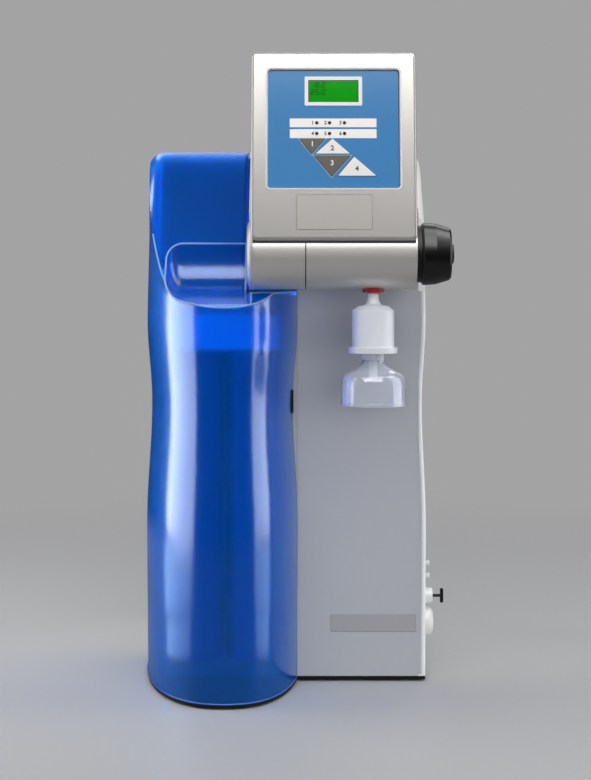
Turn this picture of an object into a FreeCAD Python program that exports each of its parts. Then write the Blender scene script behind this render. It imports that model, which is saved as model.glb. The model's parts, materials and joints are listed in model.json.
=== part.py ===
import FreeCAD, Part
import math
import os

os.makedirs("parts", exist_ok=True)

# Bench-top ultrapure water system. Millimetres, +Z up, front towards -Y.
# The origin is on the bench, under the middle of the depth.

# Overall sizes
overall_height = 545.0
overall_depth = 400.0
overrun = 6.0
touch_gap = 0.3
slide_fit = 0.05

# Plan of the cabinet
centre_x = -61.0
left_half = 73.8
right_half = 66.0
nose_to_panel = 111.0
nose_round_length = 186.0
left_power_share = 2.0 / 2.15
right_power_share = 2.0 / 2.5
panel_setback = 115.0
cover_length = 221.0
cabinet_right = 115.0
panel_left = 1.6
panel_right = 108.5

# Heights of the cabinet, and where its side walls swell and draw in, from the lip of its nose
foot_height = 1.5
base_thickness = 3.0
cabinet_drop = 75.0
lower_bulge_z = 135.0
waist_drop = 87.0
upper_bulge_drop = 15.0
shoulder_rise = 68.0
bottom_pinch = 0.8
waist_pinch = 4.6
upper_bulge_pinch = 0.4
shoulder_pinch = 2.0

# Slanted top, from the lip of the nose back to the flat top, in steps of run and rise
foot_run = 35.0
foot_rise = 15.0
low_run = 30.0
low_rise = 24.0
ledge_run = 16.0
ledge_rise = 14.7
mid_run = 45.0
mid_rise = 43.3
high_run = 32.0
high_rise = 29.0
top_run = 22.0
top_rise = 12.0

# Walls
cover_wall = 3.0
shell_wall = 3.5
panel_thickness = 3.0
sheet_thickness = 1.5
edge_round = 16.0

# Groove across the cover behind the pivot barrel
groove_left_x = -111.0
groove_round = 30.0
groove_end_round = 14.0
groove_rise = 11.5
head_side_x = -43.0

# Places that follow from the sizes above
front_y = -overall_depth / 2
rear_y = overall_depth / 2
panel_y = front_y + panel_setback
nose_y = panel_y - nose_to_panel
cover_back_y = nose_y + cover_length
plan_y = nose_y + nose_round_length
base_z = foot_height + base_thickness
left_x = centre_x - left_half
slope_foot_y = nose_y + foot_run
slope_low_y = slope_foot_y + low_run
ledge_y = slope_low_y + ledge_run
slope_mid_y = ledge_y + mid_run
slope_high_y = slope_mid_y + high_run
slope_top_y = slope_high_y + top_run
cabinet_top_z = overall_height - cabinet_drop
slope_high_z = cabinet_top_z - top_rise
slope_mid_z = slope_high_z - high_rise
ledge_z = slope_mid_z - mid_rise
slope_low_z = ledge_z - ledge_rise
slope_foot_z = slope_low_z - low_rise
lip_z = slope_foot_z - foot_rise
shelf_z = lip_z + groove_rise
upper_bulge_z = lip_z - upper_bulge_drop
waist_z = lip_z - waist_drop
shoulder_z = lip_z + shoulder_rise


def save(shape, name):
    shape.exportStep("parts/" + name + ".step")


def vec(x, y, z):
    return FreeCAD.Vector(x, y, z)


def box(x0, x1, y0, y1, z0, z1):
    return Part.makeBox(x1 - x0, y1 - y0, z1 - z0, vec(x0, y0, z0))


def rod_z(x, y, z0, z1, radius):
    return Part.makeCylinder(radius, z1 - z0, vec(x, y, z0), vec(0, 0, 1))


def rod_x(x0, x1, y, z, radius):
    return Part.makeCylinder(radius, x1 - x0, vec(x0, y, z), vec(1, 0, 0))


def rod_y(x, y0, y1, z, radius):
    return Part.makeCylinder(radius, y1 - y0, vec(x, y0, z), vec(0, 1, 0))


def join(shapes):
    whole = shapes[0]
    for shape in shapes[1:]:
        whole = whole.fuse(shape)
    return whole.removeSplitter()


def slab_x(points, x0, x1):
    # A flat outline in Y and Z, carried along X
    corners = [vec(x0, y, z) for y, z in points]
    face = Part.Face(Part.makePolygon(corners + corners[:1]))
    return face.extrude(vec(x1 - x0, 0, 0))


def rounded_slab(x0, x1, y0, y1, z0, z1, radius):
    # A box whose four edges along Y are rounded
    block = box(x0, x1, y0, y1, z0, z1)
    edges = [edge for edge in block.Edges if abs(edge.tangentAt(edge.FirstParameter).y) > 0.9]
    return block.makeFillet(radius, edges)


def turned_z(x, y, outline):
    # A shape of revolution about a vertical axis; the outline lists radius and height
    corners = [vec(x + radius, y, z) for radius, z in outline]
    face = Part.Face(Part.makePolygon(corners + corners[:1]))
    return face.revolve(vec(x, y, 0), vec(0, 0, 1), 360)


def turned_x(y, z, outline):
    # A shape of revolution about an axis along X; the outline lists place and radius
    corners = [vec(x, y, z + radius) for x, radius in outline]
    face = Part.Face(Part.makePolygon(corners + corners[:1]))
    return face.revolve(vec(0, y, z), vec(1, 0, 0), 360)


# The side walls swell at two heights and draw in at a waist between them
wave_heights = [
    (base_z, bottom_pinch),
    (lower_bulge_z, 0.0),
    (waist_z, waist_pinch),
    (upper_bulge_z, upper_bulge_pinch),
    (shoulder_z, shoulder_pinch),
    (cabinet_top_z + overrun, shoulder_pinch),
]
wave_levels = 20


def pinch_at(z):
    # The drawing-in at any height, eased between the heights above
    low_z, low_pinch = wave_heights[0]
    for high_z, high_pinch in wave_heights[1:]:
        if z <= high_z:
            share = max(0.0, (z - low_z) / (high_z - low_z))
            ease = (1 - math.cos(math.pi * share)) / 2
            return low_pinch + (high_pinch - low_pinch) * ease
        low_z, low_pinch = high_z, high_pinch
    return low_pinch


def nose_curve(z, inset, pinch):
    # Half a drawn-out ellipse round the nose, from the right wall to the left wall
    points = []
    steps = 16
    reach = nose_round_length - inset - pinch
    for step in range(steps + 1):
        angle = math.pi * step / steps
        across = math.cos(angle)
        right_side = across > 0
        half = right_half if right_side else left_half
        power = right_power_share if right_side else left_power_share
        x = centre_x + math.copysign(abs(across) ** power, across) * (half - inset - pinch)
        y = plan_y - abs(math.sin(angle)) ** power * reach
        points.append(vec(x, y, z))
    curve = Part.BSplineCurve()
    curve.interpolate(Points=points, InitialTangent=vec(0, -1, 0), FinalTangent=vec(0, 1, 0))
    return curve.toShape(), points[0], points[-1]


def cover_plan(z, inset, pinch, back_y):
    curve, right_point, left_point = nose_curve(z, inset, pinch)
    back_right = vec(right_point.x, back_y, z)
    back_left = vec(left_point.x, back_y, z)
    edges = [
        curve,
        Part.makeLine(left_point, back_left),
        Part.makeLine(back_left, back_right),
        Part.makeLine(back_right, right_point),
    ]
    return Part.Wire(edges)


def cover_block(inset, bottom_z, back_y):
    wires = []
    top_z = cabinet_top_z + overrun
    for level in range(wave_levels + 1):
        z = bottom_z + (top_z - bottom_z) * level / wave_levels
        wires.append(cover_plan(z, inset, pinch_at(z), back_y))
    return Part.makeLoft(wires, True, False)


def slope_block(inset, x0, x1, radius):
    # Everything under the slanted top
    slope_points = [
        (nose_y - foot_run, lip_z - groove_rise),
        (nose_y, lip_z),
        (slope_foot_y, slope_foot_z),
        (slope_low_y, slope_low_z),
        (ledge_y, ledge_z),
        (slope_mid_y, slope_mid_z),
        (slope_high_y, slope_high_z),
        (slope_top_y, cabinet_top_z),
    ]
    shift_y = inset * (math.sqrt(2) - 1)
    points = [vec(x0, y + shift_y, z - inset) for y, z in slope_points]
    curve = Part.BSplineCurve()
    curve.interpolate(Points=points, FinalTangent=vec(0, 1, 0))
    top_back = vec(x0, rear_y + overrun, cabinet_top_z - inset)
    low_back = vec(x0, rear_y + overrun, -overrun)
    low_front = vec(x0, points[0].y, -overrun)
    edges = [
        curve.toShape(),
        Part.makeLine(points[-1], top_back),
        Part.makeLine(top_back, low_back),
        Part.makeLine(low_back, low_front),
        Part.makeLine(low_front, points[0]),
    ]
    block = Part.Face(Part.Wire(edges)).extrude(vec(x1 - x0, 0, 0))
    if not radius:
        return block
    rim = []
    for edge in block.Edges:
        middle = edge.valueAt((edge.FirstParameter + edge.LastParameter) / 2)
        at_side = middle.x < x0 + touch_gap or middle.x > x1 - touch_gap
        if at_side and middle.z > lip_z and middle.y < rear_y:
            rim.append(edge)
    return block.makeFillet(radius, rim)


def groove_block(grow):
    # The groove's floor rises to the back and turns up into its rear wall
    front = nose_y - overrun
    bend_y = ledge_y - groove_round
    bend_z = shelf_z + groove_round
    reach = groove_round + grow
    start = groove_left_x - grow
    low = vec(start, bend_y, bend_z - reach)
    middle = vec(start, bend_y + reach * math.sin(math.pi / 4), bend_z - reach * math.cos(math.pi / 4))
    high = vec(start, bend_y + reach, bend_z)
    ledge = vec(start, bend_y + reach, ledge_z)
    top = vec(start, front, ledge_z)
    lip = vec(start, front, lip_z - grow)
    edges = [
        Part.makeLine(lip, low),
        Part.Arc(low, middle, high).toShape(),
        Part.makeLine(high, ledge),
        Part.makeLine(ledge, top),
        Part.makeLine(top, lip),
    ]
    block = Part.Face(Part.Wire(edges)).extrude(vec(head_side_x + overrun - start, 0, 0))
    rim = []
    for edge in block.Edges:
        middle = edge.valueAt((edge.FirstParameter + edge.LastParameter) / 2)
        if middle.x < start + touch_gap and middle.y > front + touch_gap and middle.z < ledge_z - touch_gap:
            rim.append(edge)
    return block.makeFillet(groove_end_round + grow, rim)


# Blue cover, moulded in one piece; it pulls off to the front
latch_back = 9.0
latch_width = 5.0
latch_height = 26.0
latch_z = waist_z - latch_height / 2
right_end = cabinet_right + overrun
cover_end_y = panel_y - touch_gap
outer = cover_block(0.0, base_z, cover_back_y).common(slope_block(0.0, left_x, right_end, edge_round))
outer = outer.cut(box(head_side_x, right_end, front_y, rear_y, shelf_z, cabinet_top_z + overrun))
outer = outer.cut(box(head_side_x - cover_wall, right_end, cover_end_y, rear_y, 0, shelf_z))
outer = outer.cut(groove_block(0.0))
void = cover_block(cover_wall, base_z - overrun, cover_back_y + overrun)
void = void.fuse(box(centre_x, right_end, cover_end_y, cover_back_y + overrun, base_z - overrun,
                     cabinet_top_z))
void = void.common(slope_block(cover_wall, left_x + cover_wall, right_end, edge_round - cover_wall))
void = void.cut(box(head_side_x - cover_wall, right_end, front_y, rear_y, shelf_z - cover_wall,
                    cabinet_top_z + overrun))
void = void.cut(groove_block(cover_wall))
latch_y = panel_y - latch_back
latch_share = ((plan_y - latch_y) / (nose_round_length - waist_pinch)) ** (1 / right_power_share)
latch_wall_x = centre_x + (right_half - waist_pinch) * math.sqrt(1 - latch_share ** 2) ** right_power_share
blue_cover = outer.cut(void)
latch_slot = box(latch_wall_x - latch_width * 2, right_end, latch_y - latch_width / 2,
                 latch_y + latch_width / 2,
                 latch_z, latch_z + latch_height)
blue_cover = blue_cover.cut(latch_slot)
save(blue_cover, "blue_cover")

# Latch that holds the cover, a slider in a slot of its right wall
latch_stroke = 5.0
latch_proud = 1.6
latch_tab = 7.0
latch_clear = 0.9
latch_x = latch_wall_x + latch_proud
latch_high = latch_z + latch_height - touch_gap
latch_low = latch_z + touch_gap + latch_stroke
latch_back_x = latch_wall_x - cover_wall - latch_clear
latch = box(latch_back_x, latch_x, latch_y - latch_width / 2 + touch_gap,
            latch_y + latch_width / 2 - touch_gap, latch_low, latch_high)
latch_plate = box(latch_back_x - sheet_thickness, latch_back_x, latch_y - latch_width,
                  latch_y + latch_width / 2,
                  latch_low - latch_tab, latch_high + latch_tab)
save(join([latch, latch_plate]), "cover_latch")

# Base plate with the plan of the whole cabinet, on four pads
right_wave_share = 0.8
pad_radius = 11.0
pad_inset_x = 24.0
pad_inset_y = 26.0
base_face = Part.Face(cover_plan(foot_height, 0.0, bottom_pinch, rear_y))
base_left = base_face.extrude(vec(0, 0, base_thickness))
base_right_x = cabinet_right - bottom_pinch * right_wave_share
base_right = box(centre_x, base_right_x, panel_y, rear_y, foot_height, base_z)
base_plate = join([base_left, base_right])
pad_places = [
    (centre_x, nose_y + pad_inset_y),
    (cabinet_right - pad_inset_x, panel_y + pad_inset_y),
    (left_x + pad_inset_x, rear_y - pad_inset_y),
    (cabinet_right - pad_inset_x, rear_y - pad_inset_y),
]
pads = [rod_z(x, y, 0, foot_height, pad_radius) for x, y in pad_places]
save(Part.makeCompound(pads), "rubber_feet")

# Side walls of the cabinet, swelling and narrowing like the cover
rear_recess = 22.0
side_inner_x = left_x + waist_pinch + shell_wall
housing_back_y = cover_back_y + touch_gap


def wavy_wall(outer_x, inner_x, share, y0, y1):
    side = math.copysign(1, outer_x)
    points = []
    for level in range(wave_levels + 1):
        z = base_z + (cabinet_top_z + overrun - base_z) * level / wave_levels
        points.append(vec(outer_x - side * pinch_at(z) * share, y0, z))
    curve = Part.BSplineCurve()
    curve.interpolate(points)
    low = vec(inner_x, y0, points[0].z)
    high = vec(inner_x, y0, points[-1].z)
    edges = [
        curve.toShape(),
        Part.makeLine(points[-1], high),
        Part.makeLine(high, low),
        Part.makeLine(low, points[0]),
    ]
    wall = Part.Face(Part.Wire(edges)).extrude(vec(0, y1 - y0, 0))
    return wall.common(slope_block(0.0, left_x, cabinet_right, edge_round))


right_shell = wavy_wall(cabinet_right, panel_right, right_wave_share, panel_y, rear_y)
left_shell = wavy_wall(left_x, side_inner_x, 1.0, housing_back_y, rear_y)

# Ports low on the right wall, in line with the tank: a sample tap, a drain cap and two test plugs
tank_front_gap = 22.0
tank_front_y = panel_y + panel_thickness + tank_front_gap
port_back = 35.0
port_y = tank_front_y + port_back
tap_z = 65.2
tap_pipe_radius = 4.0
tap_radius = 7.0
tap_length = 10.0
drain_z = 41.5
drain_radius = 13.5
drain_length = 11.0
drain_round = 6.0
plug_radius = 5.0
plug_length = 3.5
plug_heights = [77.5, 90.5]
tank_right_x = 102.0
for height in [tap_z, drain_z]:
    right_shell = right_shell.cut(rod_x(tank_right_x, right_end, port_y, height, tap_pipe_radius + touch_gap))
save(right_shell, "right_shell")
save(left_shell, "left_shell")


def seat_x(z, radius):
    # The outermost place of the right wall under a round fitting
    pinch = min(pinch_at(z - radius), pinch_at(z), pinch_at(z + radius))
    return cabinet_right - pinch * right_wave_share


tap_start = seat_x(tap_z, tap_radius)
tap_end = tap_start + tap_length
tap_body = join([
    rod_x(tap_start, tap_end, port_y, tap_z, tap_radius),
    rod_x(tank_right_x, tap_start + slide_fit, port_y, tap_z, tap_pipe_radius),
])
stem_radius = 3.5
stem_length = 7.0
bar_thickness = 3.2
bar_length = 13.2
bar_width = 6.0
stem_bore = 6.0
tap_body = tap_body.cut(rod_x(tap_end - stem_bore, tap_end, port_y, tap_z, stem_radius / 2 + slide_fit))
save(tap_body, "tap_body")
stem_end = tap_end + stem_length
tap_handle = join([
    rod_x(tap_end - stem_bore + touch_gap, tap_end + touch_gap, port_y, tap_z, stem_radius / 2),
    rod_x(tap_end + touch_gap, stem_end, port_y, tap_z, stem_radius),
    box(stem_end, stem_end + bar_thickness, port_y - bar_width / 2, port_y + bar_width / 2,
        tap_z - bar_length / 2, tap_z + bar_length / 2),
])
save(tap_handle, "tap_handle")
drain_start = seat_x(drain_z, drain_radius)
drain_dome = rod_x(drain_start, drain_start + drain_length, port_y, drain_z, drain_radius)
dome_edges = [edge for edge in drain_dome.Edges if edge.BoundBox.XMin > drain_start + touch_gap]
drain_dome = drain_dome.makeFillet(drain_round, dome_edges)
drain_pipe = rod_x(tank_right_x, drain_start + slide_fit, port_y, drain_z, tap_pipe_radius)
plugs = [join([drain_dome, drain_pipe])]
for height in plug_heights:
    start = seat_x(height, plug_radius)
    plugs.append(rod_x(start, start + plug_length, port_y, height, plug_radius))
save(Part.makeCompound(plugs), "side_plugs")

# Top housing: the slanted and flat top behind the cover, and the fixed wall behind the head
head_clear = 2.0
head_wall_x = head_side_x + head_clear
housing_low_z = shelf_z + head_clear
skin = slope_block(0.0, left_x, right_end, 0.0).cut(slope_block(shell_wall, left_x, right_end, 0.0))
skin_front = skin.common(box(head_wall_x, panel_right, panel_y, housing_back_y, housing_low_z,
                             cabinet_top_z + overrun))
skin_back = skin.common(box(side_inner_x, panel_right, housing_back_y, rear_y, housing_low_z,
                            cabinet_top_z + overrun))
under_slope = slope_block(0.0, left_x, right_end, 0.0)
front_wall = box(head_wall_x, panel_left, panel_y, panel_y + panel_thickness, housing_low_z, cabinet_top_z)
cheek = box(head_wall_x, head_wall_x + head_clear, panel_y, housing_back_y, housing_low_z, cabinet_top_z)
top_housing = join([skin_front, skin_back, front_wall.common(under_slope), cheek.common(under_slope)])
panel_space = box(panel_left, panel_right, panel_y, panel_y + panel_thickness, base_z, cabinet_top_z)
top_housing = top_housing.cut(panel_space)
save(top_housing, "top_housing")

# Pivot barrel and dispense head
head_reach = 30.55
barrel_radius = 29.6
barrel_under_ledge = 9.3
barrel_z = ledge_z - barrel_under_ledge
barrel_y = front_y + head_reach
barrel_bore = 24.0
sleeve_left = -40.4
seam_x = 8.3
barrel_right = 100.6
barrel_wall = 6.0
sleeve_round = 7.0
neck_left = 14.0
neck_right = 97.0
neck_below = 22.4
neck_above = 14.6
channel_left = 38.0
channel_right = 80.0
channel_below = 12.4
channel_above = 7.6
channel_low = barrel_z - channel_below
channel_high = barrel_z + channel_above
spigot_x = 65.0
spigot_radius = 2.5
spigot_length = 15.8
barrel_low_z = barrel_z - barrel_radius
spigot_tip_z = barrel_low_z - spigot_length
barrel_start = seam_x + touch_gap
barrel = rod_x(barrel_start, barrel_right, barrel_y, barrel_z, barrel_radius)
neck = box(neck_left, neck_right, barrel_y, panel_y, barrel_z - neck_below, barrel_z + neck_above)
neck_edges = [edge for edge in neck.Edges if abs(edge.tangentAt(edge.FirstParameter).y) > 0.9]
neck = neck.makeFillet(groove_end_round / 4, neck_edges)
head = join([barrel, neck])
head = head.cut(rod_x(barrel_start + barrel_wall, barrel_right + overrun, barrel_y, barrel_z, barrel_bore))
head = head.cut(box(channel_left, channel_right, barrel_y, panel_y + overrun, channel_low, channel_high))
head = head.cut(rod_z(spigot_x, barrel_y, spigot_tip_z, barrel_z, spigot_radius + slide_fit))
pin_radius = 8.0
pin_length = 32.0
pin_head_radius = 12.0
pin_head = 3.0
head = head.cut(rod_x(seam_x, barrel_start + barrel_wall + overrun, barrel_y, barrel_z, pin_radius))
save(head, "dispense_head")

# Front panel with its hose window and a bare recessed badge
badge_left = 31.0
badge_right = 105.7
badge_low = 43.6
badge_high = 58.4
badge_depth = 0.8
front_panel = panel_space.common(slope_block(0.0, left_x, right_end, 0.0))
front_panel = front_panel.cut(box(channel_left, channel_right, panel_y - overrun,
                                  panel_y + panel_thickness + overrun,
                                  channel_low, channel_high))
front_panel = front_panel.cut(box(badge_left - touch_gap, badge_right + touch_gap, panel_y - overrun,
                                  panel_y + badge_depth, badge_low - touch_gap, badge_high + touch_gap))
save(front_panel, "front_panel")

# Left half of the barrel turns with the display on a steel pin
sleeve = rod_x(sleeve_left, seam_x, barrel_y, barrel_z, barrel_radius)
sleeve_edges = [edge for edge in sleeve.Edges if edge.BoundBox.XMax < sleeve_left + touch_gap]
sleeve = sleeve.makeFillet(sleeve_round, sleeve_edges)
pin_start = seam_x - pin_length
sleeve = sleeve.cut(rod_x(pin_start - touch_gap, seam_x + overrun, barrel_y, barrel_z,
                          pin_radius + slide_fit))
display_tilt = 9.5
display_left = -37.0
display_front = 32.4
display_split = 17.6
display_low = 5.8
display_corner = 5.0
front_round = 3.0
seam_gap = 0.4
tilt = math.radians(display_tilt)
top_centre = barrel_z + (display_front - front_round) * math.sin(tilt)
display_high = (overall_height - front_round - top_centre) / math.cos(tilt) + front_round


def tilted(shape):
    shape.rotate(vec(0, barrel_y, barrel_z), vec(1, 0, 0), -display_tilt)
    return shape


def panel_box(x0, x1, low, high, back, front):
    # A box in the display's own directions: across, up the panel and out of it
    return box(x0, x1, barrel_y - front, barrel_y - back, barrel_z + low, barrel_z + high)


def panel_slab(x0, x1, low, high, back, front, radius):
    return rounded_slab(x0, x1, barrel_y - front, barrel_y - back, barrel_z + low, barrel_z + high, radius)


tongue_left = -31.0
tongue_right = 3.0
tongue_high = 48.0
tongue_back = 4.0
tongue_front = 12.0
tongue = panel_box(tongue_left, tongue_right, barrel_radius / 2, tongue_high, tongue_back, tongue_front)
tongue = tongue.cut(rod_x(tongue_left - overrun, tongue_right + overrun, barrel_y, barrel_z,
                          pin_radius + overrun))
save(tilted(join([sleeve, tongue])), "pivot_sleeve")
pin = join([
    rod_x(pin_start, barrel_start + barrel_wall, barrel_y, barrel_z, pin_radius),
    rod_x(barrel_start + barrel_wall, barrel_start + barrel_wall + pin_head, barrel_y, barrel_z,
          pin_head_radius),
])
save(pin, "pivot_pin")

# Display housing: back shell and front frame, scooped to go round the barrel
back_round = 4.0
display_wall = 2.6
scoop = rod_x(display_left - overrun, barrel_right + overrun, barrel_y, barrel_z, barrel_radius + seam_gap)
back = panel_slab(display_left, barrel_right, display_low, display_high, -seam_gap, display_split,
                  display_corner)
rear_edges = [edge for edge in back.Edges if edge.BoundBox.YMin > barrel_y + seam_gap - slide_fit]
back = back.makeFillet(back_round, rear_edges)
hollow = panel_box(display_left + display_wall, barrel_right - display_wall, display_low + display_wall,
                   display_high - display_wall, display_wall, display_split + overrun)
hollow = hollow.cut(rod_x(display_left - overrun, barrel_right + overrun, barrel_y, barrel_z,
                          barrel_radius + seam_gap + display_wall))
tongue_space = panel_box(tongue_left - seam_gap, tongue_right + seam_gap, 0, tongue_high,
                         tongue_back - seam_gap, tongue_front + seam_gap)
back = back.cut(hollow).cut(scoop).cut(tongue_space)

keypad_left = -23.5
keypad_right = 87.0
keypad_low = 49.7
keypad_high = 151.4
keypad_depth = 2.4
keypad_corner = 4.0
membrane_thickness = 1.2
membrane_front = display_front - keypad_depth
membrane_back = membrane_front - membrane_thickness
frame_ledge = 4.0
plate_left = 1.0
plate_right = 63.2
plate_low = 15.1
plate_high = 44.1
plate_depth = 0.8
frame = panel_slab(display_left, barrel_right, display_low, display_high, display_split, display_front,
                   display_corner)
face_edges = [edge for edge in frame.Edges if edge.BoundBox.YMax < barrel_y - display_front + slide_fit]
frame = frame.makeFillet(front_round, face_edges)
frame = frame.cut(panel_slab(keypad_left, keypad_right, keypad_low, keypad_high, membrane_back,
                             display_front + overrun, keypad_corner))
frame = frame.cut(panel_box(keypad_left + frame_ledge, keypad_right - frame_ledge, keypad_low + frame_ledge,
                            keypad_high - frame_ledge, display_split - overrun, membrane_front))
frame = frame.cut(panel_box(display_left + display_wall, barrel_right - display_wall,
                            display_low + barrel_radius, display_high - display_wall,
                            display_split - overrun, display_split + display_wall))
frame = frame.cut(scoop)
frame = frame.cut(panel_box(plate_left - touch_gap, plate_right + touch_gap, plate_low - touch_gap,
                            plate_high + touch_gap, display_front - plate_depth, display_front + overrun))
save(tilted(frame), "display_frame")

# Four triangular keys through the membrane, in the order of the rows
key_travel = 0.4
key_back = 24.6
key_proud = 1.0
key_gap = 0.3
key_shares = {
    "key_down_upper": [(0.244, 0.415), (0.434, 0.415), (0.332, 0.291)],
    "key_up_upper": [(0.491, 0.415), (0.363, 0.291), (0.622, 0.291)],
    "key_down_lower": [(0.354, 0.273), (0.622, 0.273), (0.484, 0.103)],
    "key_up_lower": [(0.654, 0.265), (0.532, 0.107), (0.817, 0.107)],
}


def triangle(shares, back_w, front_w, grow):
    # A key's outline, placed by shares of the keypad and grown outwards from its middle
    corners = []
    for across_share, up_share in shares:
        corners.append((keypad_left + (keypad_right - keypad_left) * across_share,
                        keypad_low + (keypad_high - keypad_low) * up_share))
    middle_x = sum(x for x, height in corners) / len(corners)
    middle_z = sum(height for x, height in corners) / len(corners)
    radius = min(math.hypot(x - middle_x, height - middle_z) for x, height in corners) / 2
    factor = (radius + grow) / radius
    points = []
    for x, height in corners:
        points.append(vec(middle_x + (x - middle_x) * factor, barrel_y - back_w,
                          barrel_z + middle_z + (height - middle_z) * factor))
    face = Part.Face(Part.makePolygon(points + points[:1]))
    return face.extrude(vec(0, back_w - front_w, 0))


membrane_gap = touch_gap
membrane = panel_slab(keypad_left + membrane_gap, keypad_right - membrane_gap, keypad_low + membrane_gap,
                      keypad_high - membrane_gap, membrane_back, membrane_front, keypad_corner - membrane_gap)
for shares in key_shares.values():
    membrane = membrane.cut(triangle(shares, membrane_back - overrun, membrane_front + overrun, key_gap))
save(tilted(membrane), "keypad_membrane")
for name, shares in key_shares.items():
    save(tilted(triangle(shares, key_back, membrane_front + key_proud, 0.0)), name)

# Liquid crystal display and two rows of status lamps on the membrane
lcd_left = 7.6
lcd_right = 55.6
lcd_low = 120.2
lcd_high = 145.1
lcd_border = 3.0
lcd_proud = 0.9
glass_thickness = 0.5
lamp_heights = [105.5, 96.4]
lamp_places = [17.7, 28.3, 40.8]
lamp_radius = 1.4
lamp_proud = 0.9
lcd_frame = panel_slab(lcd_left, lcd_right, lcd_low, lcd_high, membrane_front, membrane_front + lcd_proud,
                       lcd_proud)
lcd_window = panel_box(lcd_left + lcd_border, lcd_right - lcd_border, lcd_low + lcd_border,
                       lcd_high - lcd_border,
                       membrane_front - overrun, membrane_front + overrun)
save(tilted(lcd_frame.cut(lcd_window)), "lcd_frame")
lcd = panel_box(lcd_left + lcd_border, lcd_right - lcd_border, lcd_low + lcd_border, lcd_high - lcd_border,
                membrane_front, membrane_front + glass_thickness)
save(tilted(lcd), "lcd_glass")
lamps = []
for height in lamp_heights:
    for x in lamp_places:
        lamps.append(rod_y(x, barrel_y - membrane_front - lamp_proud, barrel_y - membrane_front,
                           barrel_z + height, lamp_radius))
save(tilted(Part.makeCompound(lamps)), "status_lamps")

# Circuit board behind the keypad, on four posts of the back shell
board_thickness = 1.6
board_front = key_back - key_travel - touch_gap
board_inset = 8.0
post_radius = 3.5
board_back = board_front - board_thickness
board_left = keypad_left + board_inset
board_right = keypad_right - board_inset
board_low = keypad_low + board_inset
board_high = keypad_high - board_inset
board = panel_box(board_left, board_right, board_low, board_high, board_back, board_front)
save(tilted(board), "display_board")
for x in [board_left + board_inset, board_right - board_inset]:
    for height in [board_low + board_inset, board_high - board_inset]:
        post = rod_y(x, barrel_y - board_back, barrel_y - display_wall / 2, barrel_z + height, post_radius)
        back = back.fuse(post)
save(tilted(back.removeSplitter()), "display_back")

# Dispensing valve in the barrel, with its spindle, collar and knob
valve_left = 46.0
valve_right = 84.0
spindle_radius = 4.0
spindle_bore = 12.0
collar_radius = 23.9
collar_right = 105.0
collar_inside = 8.0
knob_radius = 26.2
knob_end_radius = 22.0
knob_end = 129.9
knob_flank = 117.0
knob_chamfer = 1.6
knob_socket = 14.0
cap_radius = 8.4
cap_proud = 2.7
cap_round = 1.8
valve = rod_x(valve_left, valve_right, barrel_y, barrel_z, barrel_bore - slide_fit)
valve = join([valve, rod_z(spigot_x, barrel_y, spigot_tip_z, barrel_z, spigot_radius)])
valve = valve.cut(rod_x(valve_right - spindle_bore, valve_right + overrun, barrel_y, barrel_z,
                        spindle_radius + slide_fit))
save(valve, "valve_body")
knob_start = collar_right + touch_gap
spindle = rod_x(valve_right - spindle_bore + touch_gap, knob_start + knob_socket, barrel_y, barrel_z,
                spindle_radius)
save(spindle, "knob_spindle")
collar_bore = spindle_radius + slide_fit
collar = turned_x(barrel_y, barrel_z, [
    (barrel_right - collar_inside, collar_bore),
    (barrel_right - collar_inside, barrel_bore - slide_fit),
    (barrel_right, barrel_bore - slide_fit),
    (barrel_right, collar_radius),
    (collar_right, collar_radius),
    (collar_right, collar_bore),
])
save(collar, "knob_collar")
knob = turned_x(barrel_y, barrel_z, [
    (knob_start, 0),
    (knob_start, knob_radius - knob_chamfer),
    (knob_start + knob_chamfer, knob_radius),
    (knob_flank, knob_radius - knob_chamfer / 2),
    (knob_end - knob_chamfer, knob_end_radius),
    (knob_end, knob_end_radius - knob_chamfer),
    (knob_end, 0),
])
knob = knob.cut(rod_x(knob_start - overrun, knob_start + knob_socket, barrel_y, barrel_z, spindle_radius))
save(knob, "dispense_knob")
cap = rod_x(knob_end, knob_end + cap_proud, barrel_y, barrel_z, cap_radius)
cap_edges = [edge for edge in cap.Edges if edge.BoundBox.XMin > knob_end + touch_gap]
save(cap.makeFillet(cap_round, cap_edges), "knob_cap")

# Sterile capsule with its bell on the spigot under the barrel
ring_radius = 9.0
ring_seat = 1.7
ring_height = 4.3
inlet_radius = 4.35
inlet_length = 9.4
capsule_radius = 17.8
dome_crown = 1.5
dome_shoulder = 4.0
dome_mid_share = 0.72
capsule_length = 30.5
capsule_wall = 1.6
flange_radius = 20.6
flange_thickness = 4.9
spout_radius = 3.75
spout_bore = 2.4
spout_length = 19.6
bell_collar_radius = 8.35
bell_collar_length = 8.6
bell_radius = 27.4
bell_shoulder = 12.5
bell_skirt = 22.8
bell_wall = 1.5
ring_high = barrel_low_z + ring_seat
ring_low = ring_high - ring_height
inlet_high = ring_low - touch_gap
capsule_dome_high = inlet_high - inlet_length
capsule_dome_mid = capsule_dome_high - dome_crown
capsule_dome_low = capsule_dome_mid - dome_shoulder
flange_high = capsule_dome_low - capsule_length
flange_low = flange_high - flange_thickness
spout_low = flange_low - spout_length
bell_collar_low = flange_low - bell_collar_length
bell_shoulder_low = bell_collar_low - bell_shoulder
bell_low = bell_shoulder_low - bell_skirt
bead = 0.6
bead_height = 1.8
ring = rod_z(spigot_x, barrel_y, ring_low, ring_high, ring_radius)
ring = ring.cut(rod_z(spigot_x, barrel_y, ring_low - overrun, ring_high + overrun, spigot_radius + slide_fit))
ring = ring.cut(rod_x(spigot_x - bell_radius, spigot_x + bell_radius, barrel_y, barrel_z, barrel_radius))
save(ring, "outlet_ring")
spigot_bore = spigot_radius + slide_fit
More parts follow.
